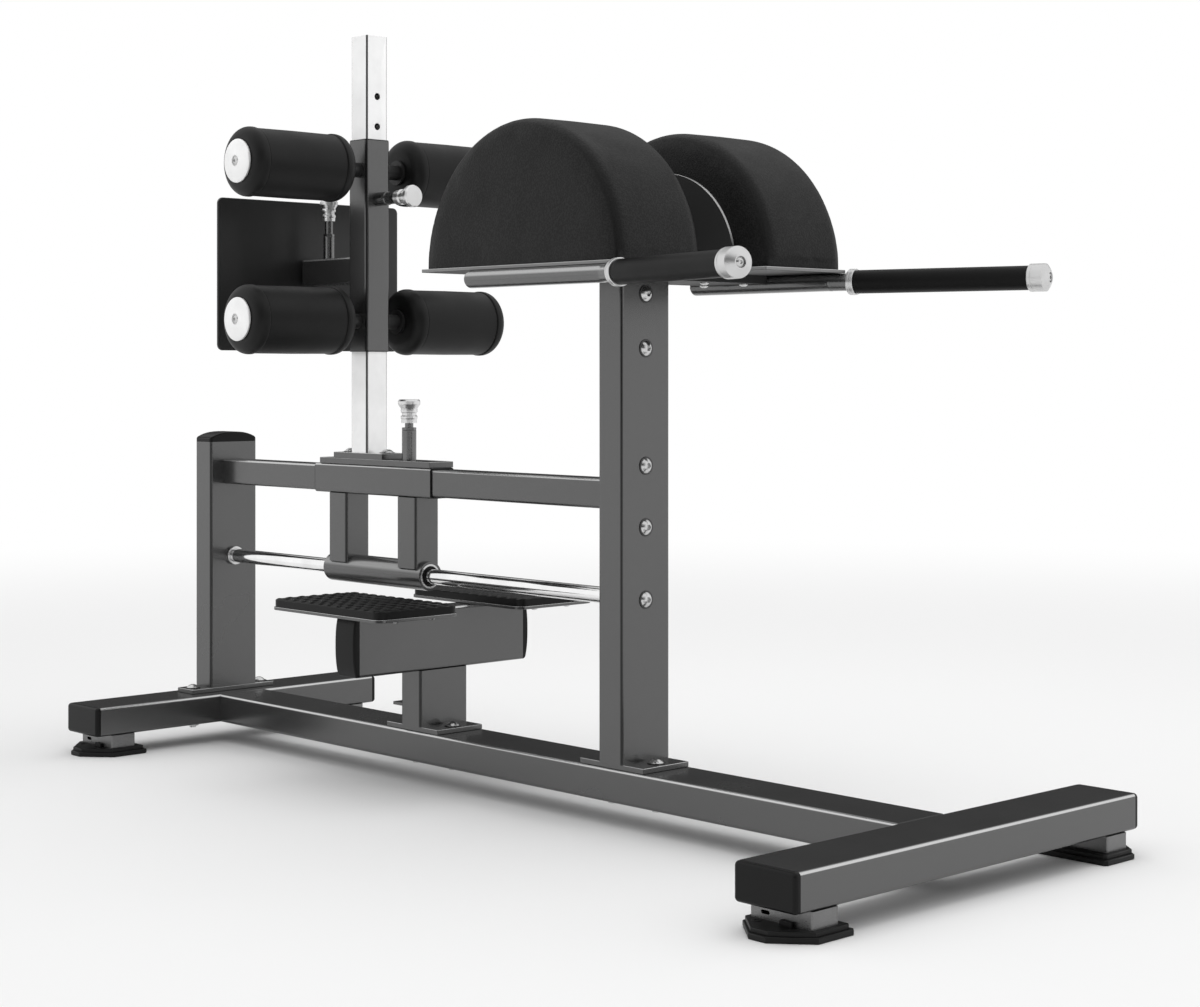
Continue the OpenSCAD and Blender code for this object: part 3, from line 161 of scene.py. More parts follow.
class Surface(Nodes):
    """A material's node tree in the making, on Object coordinates."""

    def __init__(self, name: str) -> None:
        """Starts the tree of a new material.

        Args:
            name: the material's name.
        """
        self.material = bpy.data.materials.new(name)
        self.material.use_nodes = True
        super().__init__(self.material.node_tree)
        self.shader = self.tree.nodes["Principled BSDF"]
        self.coords = self.add("ShaderNodeTexCoord").outputs["Object"]

    def noise(self, scale: float, detail: float = 4.0, stretch: Point | None = None) -> NodeSocket:
        """A noise pattern.

        Args:
            scale: how fine it is, in cycles per metre.
            detail: how many layers it has.
            stretch: a factor on each coordinate.

        Returns:
            The pattern's value.
        """
        source = self.coords
        if stretch:
            source = self.add("ShaderNodeMapping", source, scale=stretch).outputs["Vector"]
        return self.add("ShaderNodeTexNoise", source, scale=scale, detail=detail).outputs["Fac"]

    def cells(self, scale: float) -> NodeSocket:
        """The distance to the middles of rounded cells, with a scale in cells per metre."""
        return self.add("ShaderNodeTexVoronoi", self.coords, scale=scale).outputs["Distance"]

    def ramp(self, value: NodeSocket, *stops: tuple[float, float | Point]) -> NodeSocket:
        """A colour that changes along a value.

        Args:
            value: where it is read.
            stops: places on the way, with the grey or the colour at each.

        Returns:
            The colour.
        """
        node = self.add("ShaderNodeValToRGB", value)
        marks = node.color_ramp.elements
        while len(marks) < len(stops):
            marks.new(0.5)
        for mark, (place, colour) in zip(marks, stops):
            mark.position = place
            mark.color = (*colour, 1.0) if isinstance(colour, tuple) else (colour, colour, colour, 1.0)
        return node.outputs["Color"]

    def tint(self, value: NodeSocket, low: float, high: float, warm: float = 1.0) -> None:
        """Lets the base colour vary between two greys, where warm is red over green and green over blue."""
        first, last = ((grey * warm, grey, grey / warm) for grey in (low, high))
        self.link(self.ramp(value, (PATTERN_LOW, first), (PATTERN_HIGH, last)), self.shader, "Base Color")

    def rough(self, value: NodeSocket, low: float, high: float) -> None:
        """Lets the roughness vary between two values."""
        spread = self.add("ShaderNodeMapRange", value, PATTERN_LOW, PATTERN_HIGH, low, high)
        self.link(spread.outputs["Result"], self.shader, "Roughness")

    def relief(self, value: NodeSocket, height: float, strength: float = 1.0) -> None:
        """Adds a bump, on top of any that is already there.

        Args:
            value: the pattern.
            height: its height, in metres.
            strength: the bump's strength.
        """
        bump = self.add("ShaderNodeBump", strength=strength, distance=height)
        self.link(value, bump, "Height")
        earlier = self.shader.inputs["Normal"].links
        if earlier:
            self.link(earlier[0].from_socket, bump, "Normal")
        self.link(bump.outputs["Normal"], self.shader, "Normal")

    def overlay(self, mask: NodeSocket, grey: float) -> None:
        """Lays a grey over the base colour.

        Args:
            mask: how much of it shows.
            grey: the grey.
        """
        mix = self.add("ShaderNodeMix", mask, data_type="RGBA")
        self.link(self.shader.inputs["Base Color"].links[0].from_socket, mix, COLOUR_A)
        mix.inputs[COLOUR_B].default_value = (grey, grey, grey, 1.0)
        self.link(mix.outputs[COLOUR_OUT], self.shader, "Base Color")

    def facing(self) -> Sequence[NodeSocket]:
        """The surface's direction, split into X, Y and Z."""
        normal = self.add("ShaderNodeNewGeometry").outputs["Normal"]
        return tuple(self.add("ShaderNodeSeparateXYZ", normal).outputs)

    def painted_edge_highlights(self, light: float, dark: float) -> None:
        """Paints highlights on upper edges, and paints shade on what faces straight up or down.

        Args:
            light: the grey of the painted highlights on upper edges.
            dark: the grey of the painted shade on what faces up or down.
        """
        up = self.facing()[2]
        # Painted highlight on the rounding between side and top, then painted shade on flat tops and bottoms
        self.overlay(self.ramp(up, (0.2, 0.0), (0.4, 0.95), (0.8, 0.95), (0.95, 0.0)), light)
        self.overlay(self.ramp(self.compute("ABSOLUTE", up), (0.96, 0.0), (0.99, 0.45)), dark)

    def painted_side_sheen(self, grey: float) -> None:
        """Paints a sheen on what faces sideways, as a grey laid over the base colour."""
        self.overlay(self.ramp(self.compute("ABSOLUTE", self.facing()[2]), (0.3, 0.95), (0.6, 0.0)), grey)

    def painted_corner_shade(self, dark: float, strength: float = 0.95, start: float = 0.3) -> None:
        """Paints shade on upright corners, which face between the two long directions.

        Args:
            dark: the grey of the painted corner shade.
            strength: how much of it shows.
            start: where it starts, from 0 for a face to 0.5 for a corner's middle.
        """
        x, y, _ = self.facing()
        between = self.compute("ABSOLUTE", self.compute("MULTIPLY", x, y))
        self.overlay(self.ramp(between, (start, 0.0), (start + 0.14, strength)), dark)

    def set(self, **values: float | tuple[float, ...]) -> None:
        """Sets the shader's own sockets."""
        for key, value in values.items():
            self.shader.inputs[key.replace("_", " ").title().replace("Ior", "IOR")].default_value = value


# Finishes


@dataclass(frozen=True)
class Finish:
    """A finish that makes its material once, and holds the name of a material slot."""

    name: str
    slot: str = ""

    def material(self) -> Material:
        """The finish's material, made when it is first asked for."""
        return bpy.data.materials.get(self.name) or self.build(Surface(self.name))

    def build(self, surface: Surface) -> Material:
        """Makes the material's nodes."""
        raise NotImplementedError


@dataclass(frozen=True)
class Paint(Finish):
    """Satin metallic enamel on steel."""

    grey: float = 0.115
    roughness: float = 0.24
    metal: float = 0.8
    # Grey of the painted highlight on upper edges
    edge: float = 0.62
    # Grey of the painted shade on upright corners
    corner: float = 0.02
    coat: float = 0.25
    gloss: float = 0.5
    # Grey of a painted sheen on side faces; 0 leaves it out
    rim: float = 0.0

    def build(self, surface: Surface) -> Material:
        """Makes fine flake, a faint orange peel and slightly uneven gloss, with painted highlights and
        painted shade.
        """
        surface.tint(surface.noise(900.0, 2.0), self.grey * 0.86, self.grey * 1.14)
        surface.rough(surface.noise(7.0, 5.0), self.roughness * 0.88, self.roughness * 1.15)
        surface.relief(surface.noise(420.0, 3.0), 0.00004, 0.35)
        # Painted sheen on side faces, painted edge highlights, and painted shade on flat tops, bottoms and
        # upright corners
        if self.rim:
            surface.painted_side_sheen(self.rim)
        surface.painted_edge_highlights(self.edge, self.grey * 0.45)
        surface.painted_corner_shade(self.corner)
        surface.set(metallic=self.metal, coat_weight=self.coat, coat_roughness=0.12)
        surface.set(specular_ior_level=self.gloss)
        return surface.material


@dataclass(frozen=True)
class Metal(Finish):
    """Bare or plated metal with fine marks along or round the piece."""

    grey: float = 0.8
    roughness: float = 0.2
    marks: float = 0.3
    stretch: Point = (1.0, 1.0, 1.0)
    warm: float = 1.0
    metal: float = 1.0
    # Grey of painted shade on upright corners; None leaves it out
    corner: float | None = None

    def build(self, surface: Surface) -> Material:
        """Makes fine stretched marks and cloudy gloss, and painted shade on upright corners where a corner
        grey is given.
        """
        line = surface.noise(700.0, 3.0, self.stretch)
        cloud = surface.noise(25.0, 4.0)
        surface.tint(cloud, self.grey * 0.93, min(self.grey * 1.05, 1.0), self.warm)
        surface.rough(line, self.roughness * (1 - self.marks), self.roughness * (1 + self.marks))
        surface.relief(line, 0.000004, self.marks)
        # Painted shade on upright corners
        if self.corner is not None:
            surface.painted_corner_shade(self.corner)
        surface.set(metallic=self.metal)
        return surface.material


@dataclass(frozen=True)
class Moulding(Finish):
    """Moulded or stitched dark stuff: plastic, rubber, foam or vinyl."""

    grey: float = 0.02
    roughness: float = 0.5
    grain: Grain = Grain.MOULDED
    size: float = 900.0
    height: float = 0.00008
    soft: float = 0.4
    # How strongly shade is painted on the shoulders between faces; 0 leaves it out
    shoulder: float = 0.0
    spread: float = 0.27

    def build(self, surface: Surface) -> Material:
        """Makes the grain in colour, gloss and relief, and painted shade on the shoulders where a shoulder
        strength is given.
        """
        cloud = surface.noise(18.0, 4.0)
        if self.grain is Grain.LEATHER:
            pattern = surface.cells(self.size)
            surface.relief(surface.noise(self.size * 0.3, 3.0), self.height * 1.5, 0.3)
        elif self.grain is Grain.PORES:
            pattern = surface.noise(self.size, 6.0)
            surface.relief(surface.cells(self.size * 1.7), self.height, 0.5)
        else:
            pattern = surface.noise(self.size, 3.0)
        surface.tint(pattern, self.grey * (1 - self.spread), self.grey * (1 + self.spread))
        surface.rough(cloud, self.roughness * 0.9, self.roughness * 1.1)
        surface.relief(pattern, self.height, 0.6)
        # Painted shade on the shoulders, darker than the moulding's own grey
        if self.shoulder:
            surface.painted_corner_shade(self.grey * 0.3, self.shoulder, 0.22)
        surface.set(specular_ior_level=self.soft)
        return surface.material


@dataclass(frozen=True)
class Ply(Finish):
    """Plywood of the boards inside the pads."""

    def build(self, surface: Surface) -> Material:
        """Makes long grain across the board and thin layers at its edge."""
        grain = surface.noise(30.0, 6.0, (1.0, 9.0, 30.0))
        wood = surface.ramp(grain, (0.0, (0.28, 0.16, 0.08)), (1.0, (0.52, 0.35, 0.2)))
        surface.link(wood, surface.shader, "Base Color")
        surface.rough(grain, 0.55, 0.75)
        surface.relief(grain, 0.0002, 0.4)
        return surface.material


# In these finishes, edge, corner and rim are greys of painted highlights and painted shade, and shoulder is a
# strength of painted shade
PAINT = Paint("graphite_paint", "painted_steel")
# A lighter, glossier copy of the paint for the handle tubes, with a weaker painted edge highlight
TUBE_PAINT = Paint("handle_paint", grey=0.14, roughness=0.2, edge=0.45)
# The paint with a weaker painted edge highlight, for the round bushing tube
ROUND_PAINT = Paint("round_tube_paint", edge=0.3)
PANEL = Paint(
    "black_panel_coat", "dark_panel", grey=0.009, roughness=0.45, metal=0.0, edge=0.1, corner=0.01, coat=0.06
)
SEAT_PAINT = Paint(
    "seat_plate_paint", "painted_steel", grey=0.035, roughness=0.5, metal=0.0, edge=0.7, coat=0.0, gloss=0.08
)
# A copy of the seat plate paint with a painted sheen on its side faces, for the flat seat plates
SEAT_PAINTED_SHEEN = replace(SEAT_PAINT, name="seat_edge_paint", roughness=0.4, rim=0.26)
GALVANISED = Metal("galvanised_steel", grey=0.2, roughness=0.36, marks=0.5)
CHROME = Metal(
    "chrome_post", "chrome", grey=0.97, roughness=0.16, marks=0.2, stretch=(1.0, 1.0, 0.04),
    metal=0.35, corner=0.02,
)
ROD_CHROME = Metal("chrome_rod", grey=0.9, roughness=0.1, marks=0.2, stretch=(0.04, 1.0, 1.0))
KNOB_CHROME = Metal("chrome_knob", grey=0.74, roughness=0.3, marks=0.04)
DISC_METAL = Metal("disc_aluminium", "aluminium", grey=0.95, roughness=0.34, marks=0.06, metal=0.5)
ZINC = Metal("zinc_plate", "zinc_steel", grey=0.62, roughness=0.24, marks=0.3)
ALUMINIUM = Metal("turned_aluminium", "aluminium", grey=0.64, roughness=0.33, marks=0.02)
BLACK_STEEL = Metal("black_steel", grey=0.02, roughness=0.42, marks=0.3, metal=0.3)
DARK_STEEL = Metal("black_oxide", "dark_steel", grey=0.07, roughness=0.26, marks=0.3)
BARREL = Metal("blued_steel", grey=0.17, roughness=0.26, marks=0.2)
BRONZE = Metal("sintered_bronze", grey=0.42, roughness=0.4, marks=0.4, warm=1.45)
PLASTIC = Moulding(
    "cap_plastic", "black_plastic", grey=0.005, roughness=0.3, size=1500.0, height=0.00003, soft=0.17
)
RUBBER = Moulding("foot_rubber", "rubber", grey=0.006, roughness=0.5, size=700.0, height=0.00008, soft=0.25)
TREAD = Moulding("tread_rubber", "rubber", grey=0.005, roughness=0.34, size=900.0, height=0.00006, soft=0.16)
GRIP = Moulding("grip_rubber", "rubber", grey=0.004, roughness=0.42, size=1200.0, height=0.00004, soft=0.13)
VINYL = Moulding(
    "pad_vinyl", "vinyl_pad", grey=0.0075, grain=Grain.LEATHER, size=420.0, height=0.0004,
    soft=0.2, shoulder=0.6, spread=0.6,
)
FOAM = Moulding(
    "roller_foam", "foam_roller", grey=0.004, roughness=0.48, grain=Grain.PORES, size=650.0, height=0.00012,
    soft=0.26, shoulder=0.6,
)
PLY = Ply("board_ply")


# Mesh work


def soften(made: BMesh, edges: list[BMEdge], width: float, steps: int = 3) -> None:
    """Bevels edges of a mesh.

    Args:
        made: the mesh.
        edges: the edges.
        width: the bevel's width.
        steps: its segments.
    """
    how = {"offset_type": "OFFSET", "profile": 0.5, "affect": "EDGES", "clamp_overlap": True, "material": -1}
    bmesh.ops.bevel(made, geom=edges, offset=width, segments=steps, **how)


def block(low: Point, high: Point, edge: float = 0.0, steps: int = 2) -> BMesh:
    """A box between two corners with bevelled edges.

    Args:
        low: the lowest corner.
        high: the highest corner.
        edge: the bevel's width.
        steps: the bevel's segments.

    Returns:
        The mesh.
    """
    made = bmesh.new()
    bmesh.ops.create_cube(made, size=1.0)
    bmesh.ops.scale(made, vec=[b - a for a, b in zip(low, high)], verts=made.verts)
    bmesh.ops.translate(made, vec=[(a + b) / 2 for a, b in zip(low, high)], verts=made.verts)
    if edge:
        soften(made, list(made.edges), edge, steps)
    return made


def along(made: BMesh, axis: int, reach: float = TINY) -> list[BMEdge]:
    """The edges that reach further than a length along an axis, 0 to 2."""
    return [e for e in made.edges if abs((e.verts[0].co - e.verts[1].co)[axis]) > reach]


def rims(made: BMesh, axis: int) -> list[BMEdge]:
    """The edges round the end faces along an axis."""
    return [e for e in made.edges if sum(abs(f.normal[axis]) > 0.99 for f in e.link_faces) == 1]


def open_edges(made: BMesh) -> list[BMEdge]:
    """The edges with a face on one side only."""
    return [e for e in made.edges if e.is_boundary]


def rounded_block(low: Point, high: Point, axis: int, corner: float, edge: float) -> BMesh:
    """A box whose edges along one axis are rounded, and whose two ends have a small bevel.

    Args:
        low: the lowest corner.
        high: the highest corner.
        axis: the axis of the rounded edges, 0 to 2.
        corner: the radius of the rounded edges.
        edge: the bevel of the two ends.

    Returns:
        The mesh.
    """
    made = block(low, high)
    soften(made, along(made, axis), corner, 8)
    soften(made, rims(made, axis), edge)
    return made


def spun(profile: Profile, place: Matrix, axis: Point, angle: float, steps: int) -> BMesh:
    """An outline turned about an axis through the origin, and closed first if the turn is whole.

    Args:
        profile: the outline, as radius and height.
        place: the matrix that lays the outline's radius, 0 and height in space.
        axis: the axis.
        angle: how far it turns.
        steps: the number of facets.

    Returns:
        The mesh.
    """
    made = bmesh.new()
    whole = angle == math.tau
    points = [made.verts.new(place @ Vector((r, 0.0, z))) for r, z in profile]
    edges = [made.edges.new(pair) for pair in zip(points, points[1:])]
    if whole:
        edges.append(made.edges.new((points[-1], points[0])))
    turn = {"cent": (0, 0, 0), "axis": axis, "angle": angle, "steps": steps, "use_merge": whole}
    bmesh.ops.spin(made, geom=points + edges, **turn)
    bmesh.ops.remove_doubles(made, verts=made.verts, dist=TINY)
    return made


def lathes(profile: Profile, places: Iterable[Matrix], steps: int = 64) -> list[BMesh]:
    """Turned shapes of one outline about Z.

    Args:
        profile: the closed outline as radius and height, in order.
        places: a matrix for each shape.
        steps: the number of facets round it.

    Returns:
        The meshes.
    """
    made = []
    for place in places:
        shape = spun(profile, Matrix(), (0, 0, 1), math.tau, steps)
        bmesh.ops.recalc_face_normals(shape, faces=shape.faces)
        made.append(turned(shape, place))
    return made


def prism(outline: Profile, low: float, high: float, edge: float) -> BMesh:
    """An outline in X and Y raised along Z.

    Args:
        outline: the corners, in order.
        low: the height of its foot.
        high: the height of its top.
        edge: the bevel of its top and bottom edges.

    Returns:
        The mesh.
    """
    made = bmesh.new()
    face = made.faces.new([made.verts.new((x, y, low)) for x, y in outline])
    lift = bmesh.ops.extrude_face_region(made, geom=[face])
    top = [v for v in lift["geom"] if isinstance(v, BMVert)]
    bmesh.ops.translate(made, vec=(0, 0, high - low), verts=top)
    bmesh.ops.recalc_face_normals(made, faces=made.faces)
    soften(made, rims(made, 2), edge)
    return made


def turned(made: BMesh, place: Matrix) -> BMesh:
    """The same mesh moved by a matrix, turned right side out again after a mirror."""
    bmesh.ops.transform(made, matrix=place, verts=made.verts)
    if place.determinant() < 0:
        bmesh.ops.reverse_faces(made, faces=made.faces)
    return made


def as_mesh(name: str, made: BMesh) -> Mesh:
    """The mesh data of a bmesh, which is freed."""
    data = bpy.data.meshes.new(name)
    made.to_mesh(data)
    made.free()
    return data


def placed(name: str, data: Any) -> Object:
    """A new object in the scene."""
    thing = bpy.data.objects.new(name, data)
    bpy.context.scene.collection.objects.link(thing)
    return thing


def joined(parts: Sequence[BMesh]) -> BMesh:
    """The first of several meshes, with the others in it. These are freed."""
    whole, *others = parts
    for part in others:
        holder = as_mesh("part", part)
        whole.from_mesh(holder)
        bpy.data.meshes.remove(holder)
    return whole


def at(x: float, y: float, z: float) -> Matrix:
    """A matrix that moves by x, y and z."""
    return Matrix.Translation((x, y, z))


def facing_x(turn: float = 0.0) -> Matrix:
    """A matrix that lays Z along X, splayed about Z by a turn."""
    return Matrix.Rotation(turn, 4, "Z") @ Matrix.Rotation(math.pi / 2, 4, "Y")


def facing_y(side: Side) -> Matrix:
    """A matrix that lays Z outward along Y on one side."""
    return Matrix.Rotation(-math.pi / 2 * side.value, 4, "X")


def cut_above(made: BMesh, point: Point, normal: Point) -> BMesh:
    """Cuts a mesh at a plane and closes the cut.

    Args:
        made: the mesh.
        point: a point of the plane.
        normal: the direction towards what is kept.

    Returns:
        The same mesh.
    """
    geom = [*made.verts, *made.edges, *made.faces]
    bmesh.ops.bisect_plane(made, geom=geom, plane_co=point, plane_no=normal, clear_inner=True)
    bmesh.ops.triangle_fill(made, edges=open_edges(made), use_beauty=True)
    bmesh.ops.recalc_face_normals(made, faces=made.faces)
    return made


def arc(
    x: float, y: float, radius: float, start: float, stop: float, steps: int, squash: float = 1.0
) -> list[Pair]:
    """Points on an arc.

    Args:
        x: its centre's first coordinate.
        y: its centre's second coordinate.
        radius: its radius.
        start: its first angle, in degrees.
        stop: its last angle, in degrees.
        steps: the number of its pieces.
        squash: a factor on the second coordinate.

    Returns:
        The points.
    """
    angles = [math.radians(start + (stop - start) * i / steps) for i in range(steps + 1)]
    return [(x + radius * math.cos(a), y + radius * squash * math.sin(a)) for a in angles]


def evaluated(thing: Object) -> Mesh:
    """A new mesh of an object with its modifiers."""
    return bpy.data.meshes.new_from_object(thing.evaluated_get(bpy.context.evaluated_depsgraph_get()))


def puffed(made: BMesh, reach: float, voxel: float = 0.0045, frames: int = 20, passes: int = 4) -> BMesh:
    """A closed form blown up as cloth, with each point's way limited.

    Args:
        made: the form, which is freed.
        reach: how far a point may move.
        voxel: the size of the even mesh that the form is first made into.
        frames: how long it is blown.
        passes: how often the result is smoothed.

    Returns:
        The puffed form's mesh.
    """
    scene = bpy.context.scene
    data = as_mesh("form", made)
    form = placed("form", data)
    grid = form.modifiers.new("even", "REMESH")
    grid.mode = "VOXEL"
    grid.voxel_size = voxel
    even = evaluated(form)
    form.modifiers.clear()
    form.data = even
    starts = [v.co.copy() for v in even.vertices]
    cloth = form.modifiers.new("air", "CLOTH")
    cloth.settings.use_pressure = True
    cloth.settings.uniform_pressure_force = 4.0
    cloth.settings.effector_weights.gravity = 0.0
    cloth.point_cache.frame_start = 1
    cloth.point_cache.frame_end = frames
    for number in range(1, frames + 1):
        scene.frame_set(number)
    full = evaluated(form)
    scene.frame_set(1)
    result = bmesh.new()
    result.from_mesh(full)
    for v, start in zip(result.verts, starts):
        way = v.co - start
        if way.length > reach:
            v.co = start + way * (reach / way.length)
    every_way = {"use_axis_x": True, "use_axis_y": True, "use_axis_z": True}
    for _ in range(passes):
        bmesh.ops.smooth_vert(result, verts=result.verts, factor=0.5, **every_way)
    bpy.data.objects.remove(form)
    for spare in (data, even, full):
        bpy.data.meshes.remove(spare)
    return result


@dataclass
class Workshop:
    """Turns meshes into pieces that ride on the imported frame."""

    frame: dict[str, Any]
    count: int = 0

    def piece(
        self,
        name: str,
        parts: Sequence[BMesh],
        finish: Finish,
        *replaces: str,
        body: Body | str = Body.FRAME,
        smooth: float = 35.0,
    ) -> Object:
        """Makes one piece.

        Args:
            name: its name.
            parts: its meshes, which are freed.
            finish: its finish.
            replaces: the CAD nodes that it stands for.
            body: the body that it rides on.
            smooth: the angle under which edges are shaded smooth, in degrees.

        Returns:
            The piece's object.
        """
        data = as_mesh(name, joined(parts))
        data.shade_smooth()
        data.set_sharp_from_angle(angle=math.radians(smooth))
        thing = placed(name, data)
        data.materials.append(finish.material())
        even = thing.modifiers.new("even_shading", "WEIGHTED_NORMAL")
        even.keep_sharp = True
        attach(thing, body.value if isinstance(body, Body) else body)
        if replaces:
            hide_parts(*replaces)
        self.count += 1
        LOG.info("%s: %d faces", name, len(data.polygons))
        return thing

    def dress(self, finish: Finish, *nodes: str) -> None:
        """Gives CAD nodes a finish.

        Args:
            finish: the finish.
            nodes: the nodes' names.
        """
        for name in nodes:
            data = self.frame["nodes"][name].data
            data.materials.clear()
            data.materials.append(finish.material())

    def copy_of(self, name: str) -> BMesh:
        """A merged copy of a CAD node's mesh."""
        made = bmesh.new()
        made.from_mesh(self.frame["nodes"][name].data)
        bmesh.ops.remove_doubles(made, verts=made.verts, dist=2 * TINY)
        return made


# Sub-assemblies


@dataclass
class Unit:
    """A sub-assembly that makes its pieces in a workshop. Its sizes are in metres."""

    shop: Workshop


@dataclass
class FloorFrame(Unit):
    """The floor frame with its caps, feet, flanges and uprights."""

    bar_x: float = 0.83
    front_end: float = 0.348
    rear_end: float = 0.294
    base_mid: float = 0.061
    half_w: float = 0.05
    half_h: float = 0.025
    cap: float = 0.009
    front_faces: Pair = (0.218, 0.268)
    rear_faces: Pair = (-0.861, -0.811)
    rear_mid: float = -0.836
    rear_top: float = 0.5416
    flange_low: float = 0.086
    flange_top: float = 0.094
    rod_z: float = 0.333
    rod_bore: float = 0.0127
    upright_bolts: tuple[float, ...] = (0.333, 0.44, 0.531, 0.7045, 0.785)
    flange_bolts: tuple[float, ...] = (0.196, 0.29, -0.2745, -0.1805)
    rear_bolt_y: float = 0.072

    def build(self) -> None:
        """Makes the frame's own pieces and dresses its nodes."""
        self.shop.dress(PAINT, "base_rail", "front_crossbar", "rear_crossbar")
        self.shop.dress(GALVANISED, "foot_risers")
        self.shop.dress(PAINT, "rear_upright", "front_upright", "upper_rail")
        self.shop.dress(ROD_CHROME, "guide_rod")
        self.shop.dress(ZINC, "frame_bolts", "frame_nuts", "foot_screws")
        self.bar_caps()
        self.domes()
        self.feet()
        self.flanges()
        self.collars()
        self.washers()

    def washers(self) -> None:
        """Makes the dark washers under the frame's bolt heads."""
        places = [at(self.front_faces[1], 0, z) @ facing_x() for z in self.upright_bolts]
        places.append(at(self.rear_faces[0], 0, self.rod_z) @ facing_x(math.pi))
        places += [at(x, 0, self.flange_top) for x in self.flange_bolts]
        places += [at(self.rear_mid, y, self.flange_top) for y in (-self.rear_bolt_y, self.rear_bolt_y)]
        self.shop.piece("washer_set", lathes(WASHER, places, 40), DARK_STEEL)

    def ends(self) -> Iterable[tuple[float, float, Side]]:
        """The four crossbar ends, as X, distance from the middle and side."""
        for x, end in ((self.bar_x, self.front_end), (-self.bar_x, self.rear_end)):
            for side in Side:
                yield x, end, side

    def bar_caps(self) -> None:
        """Makes the four moulded caps with soft edges and a slightly full face."""
        parts = []
        for x, end, side in self.ends():
            cap = block((-self.half_w, 0.0, -self.half_h), (self.half_w, self.cap, self.half_h))
            soften(cap, along(cap, 1), 0.0062, 8)
            soften(cap, [e for e in rims(cap, 1) if e.verts[0].co.y > self.cap / 2], 0.0056, 6)
            parts.append(turned(cap, at(x, end * side.value, self.base_mid) @ side.flip))
        self.shop.piece("bar_cap_set", parts, PLASTIC, "crossbar_caps", smooth=50)

    def domes(self) -> None:
        """Makes the rear upright's domed cap and the two full caps of the step beam."""
        parts = [turned(self.dome(0.0182, 0.42), at(self.rear_mid, 0, self.rear_top))]
        for side in Side:
            place = at(StepUnit.centre_x, StepUnit.beam_end * side.value, StepUnit.beam_mid)
            parts.append(turned(self.dome(0.012, 0.5), place @ side.flip @ SWAP_YZ))
        self.shop.piece("domed_cap_set", parts, PLASTIC, "domed_caps", smooth=50)

    def dome(self, height: float, low_share: float) -> BMesh:
        """One cap on a tube's end, full in the middle and low at its short sides.

        Args:
            height: its height in the middle.
            low_share: the share of the height that its short sides keep.

        Returns:
            The mesh, standing on Z = 0 with its long side along Y.
        """
        cap = block((-self.half_h, -self.half_w, 0.0), (self.half_h, self.half_w, height))
        soften(cap, along(cap, 2), 0.0052, 6)
        bmesh.ops.subdivide_edges(cap, edges=along(cap, 1, self.half_w), cuts=15, use_grid_fill=True)
        for v in cap.verts:
            if v.co.z > height / 2:
                bow = 1.0 - (abs(v.co.y) / self.half_w) ** 2.6
                v.co.z = height * (low_share + (1.0 - low_share) * bow)
        soften(cap, [e for e in cap.edges if self.is_crest(e)], 0.003, 4)
        return cap

    @staticmethod
    def is_crest(edge: BMEdge) -> bool:
        """Whether an edge lies between a cap's top and its wall."""
        ups = [f.normal.z > 0.5 for f in edge.link_faces]
        return len(ups) == 2 and ups[0] != ups[1] and min(v.co.z for v in edge.verts) > 10 * TINY

    def feet(self) -> None:
        """Makes the four rubber feet in two chamfered layers, with the lug on the riser."""
        eyelet = [(0.0034, 0.0139), (0.0034, 0.0146), (0.0062, 0.0146), (0.0068, 0.0139)]
        parts = []
        for x, end, side in self.ends():
            place = at(x, (end - 0.0445) * side.value, 0.0) @ side.flip
            low = prism(self.foot_outline(0.0), 0.0, 0.008, 0.0018)
            high = prism(self.foot_outline(0.0042), 0.007, 0.014, 0.0015)
            lug = block((0.002, 0.0238, 0.008), (0.022, 0.0295, 0.02), 0.0012)
            parts += [turned(part, place) for part in (low, high, lug)]
            parts += lathes(eyelet, [place @ at(dx, 0.033, 0.0) for dx in (-0.03, 0.03)], 32)
        self.shop.piece("rubber_foot_set", parts, RUBBER, "rubber_feet")

    @staticmethod
    def foot_outline(step: float) -> list[Pair]:
        """The outline of one rubber layer, drawn in by a step, with blunt corners."""
        wide, back = 0.061 - step, step - 0.042
        half = [(0.057 - step, back), (wide, back + 0.004), (wide, 0.025), (0.014, 0.066 - step)]
        return [*half, *[(-x, y) for x, y in reversed(half)]]

    def flanges(self) -> None:
        """Makes the three mounting plates with broken edges."""
        spans = ((0.1755, 0.3105), 0.047), ((-0.2935, -0.1615), 0.047), (self.rear_faces, 0.088)
        low, top = self.flange_low, self.flange_top
        plates = [block((x[0], -y, low), (x[1], y, top), 0.0009, 3) for x, y in spans]
        self.shop.piece("mounting_plate_set", plates, PAINT, "mounting_flanges")

    def collars(self) -> None:
        """Makes the two round collars where the guide rod enters the uprights."""
        outline = [(self.rod_bore, 0.0), (0.017, 0.0), (0.017, 0.0058)]
        outline += [*arc(0.0155, 0.0065, 0.0015, 0, 90, 5), (self.rod_bore, 0.008)]
        rear = at(self.rear_faces[1], 0, self.rod_z) @ facing_x()
        front = at(self.front_faces[0], 0, self.rod_z) @ facing_x(math.pi)
        self.shop.piece("rod_collar_set", lathes(outline, [rear, front]), ZINC, "rod_collars")


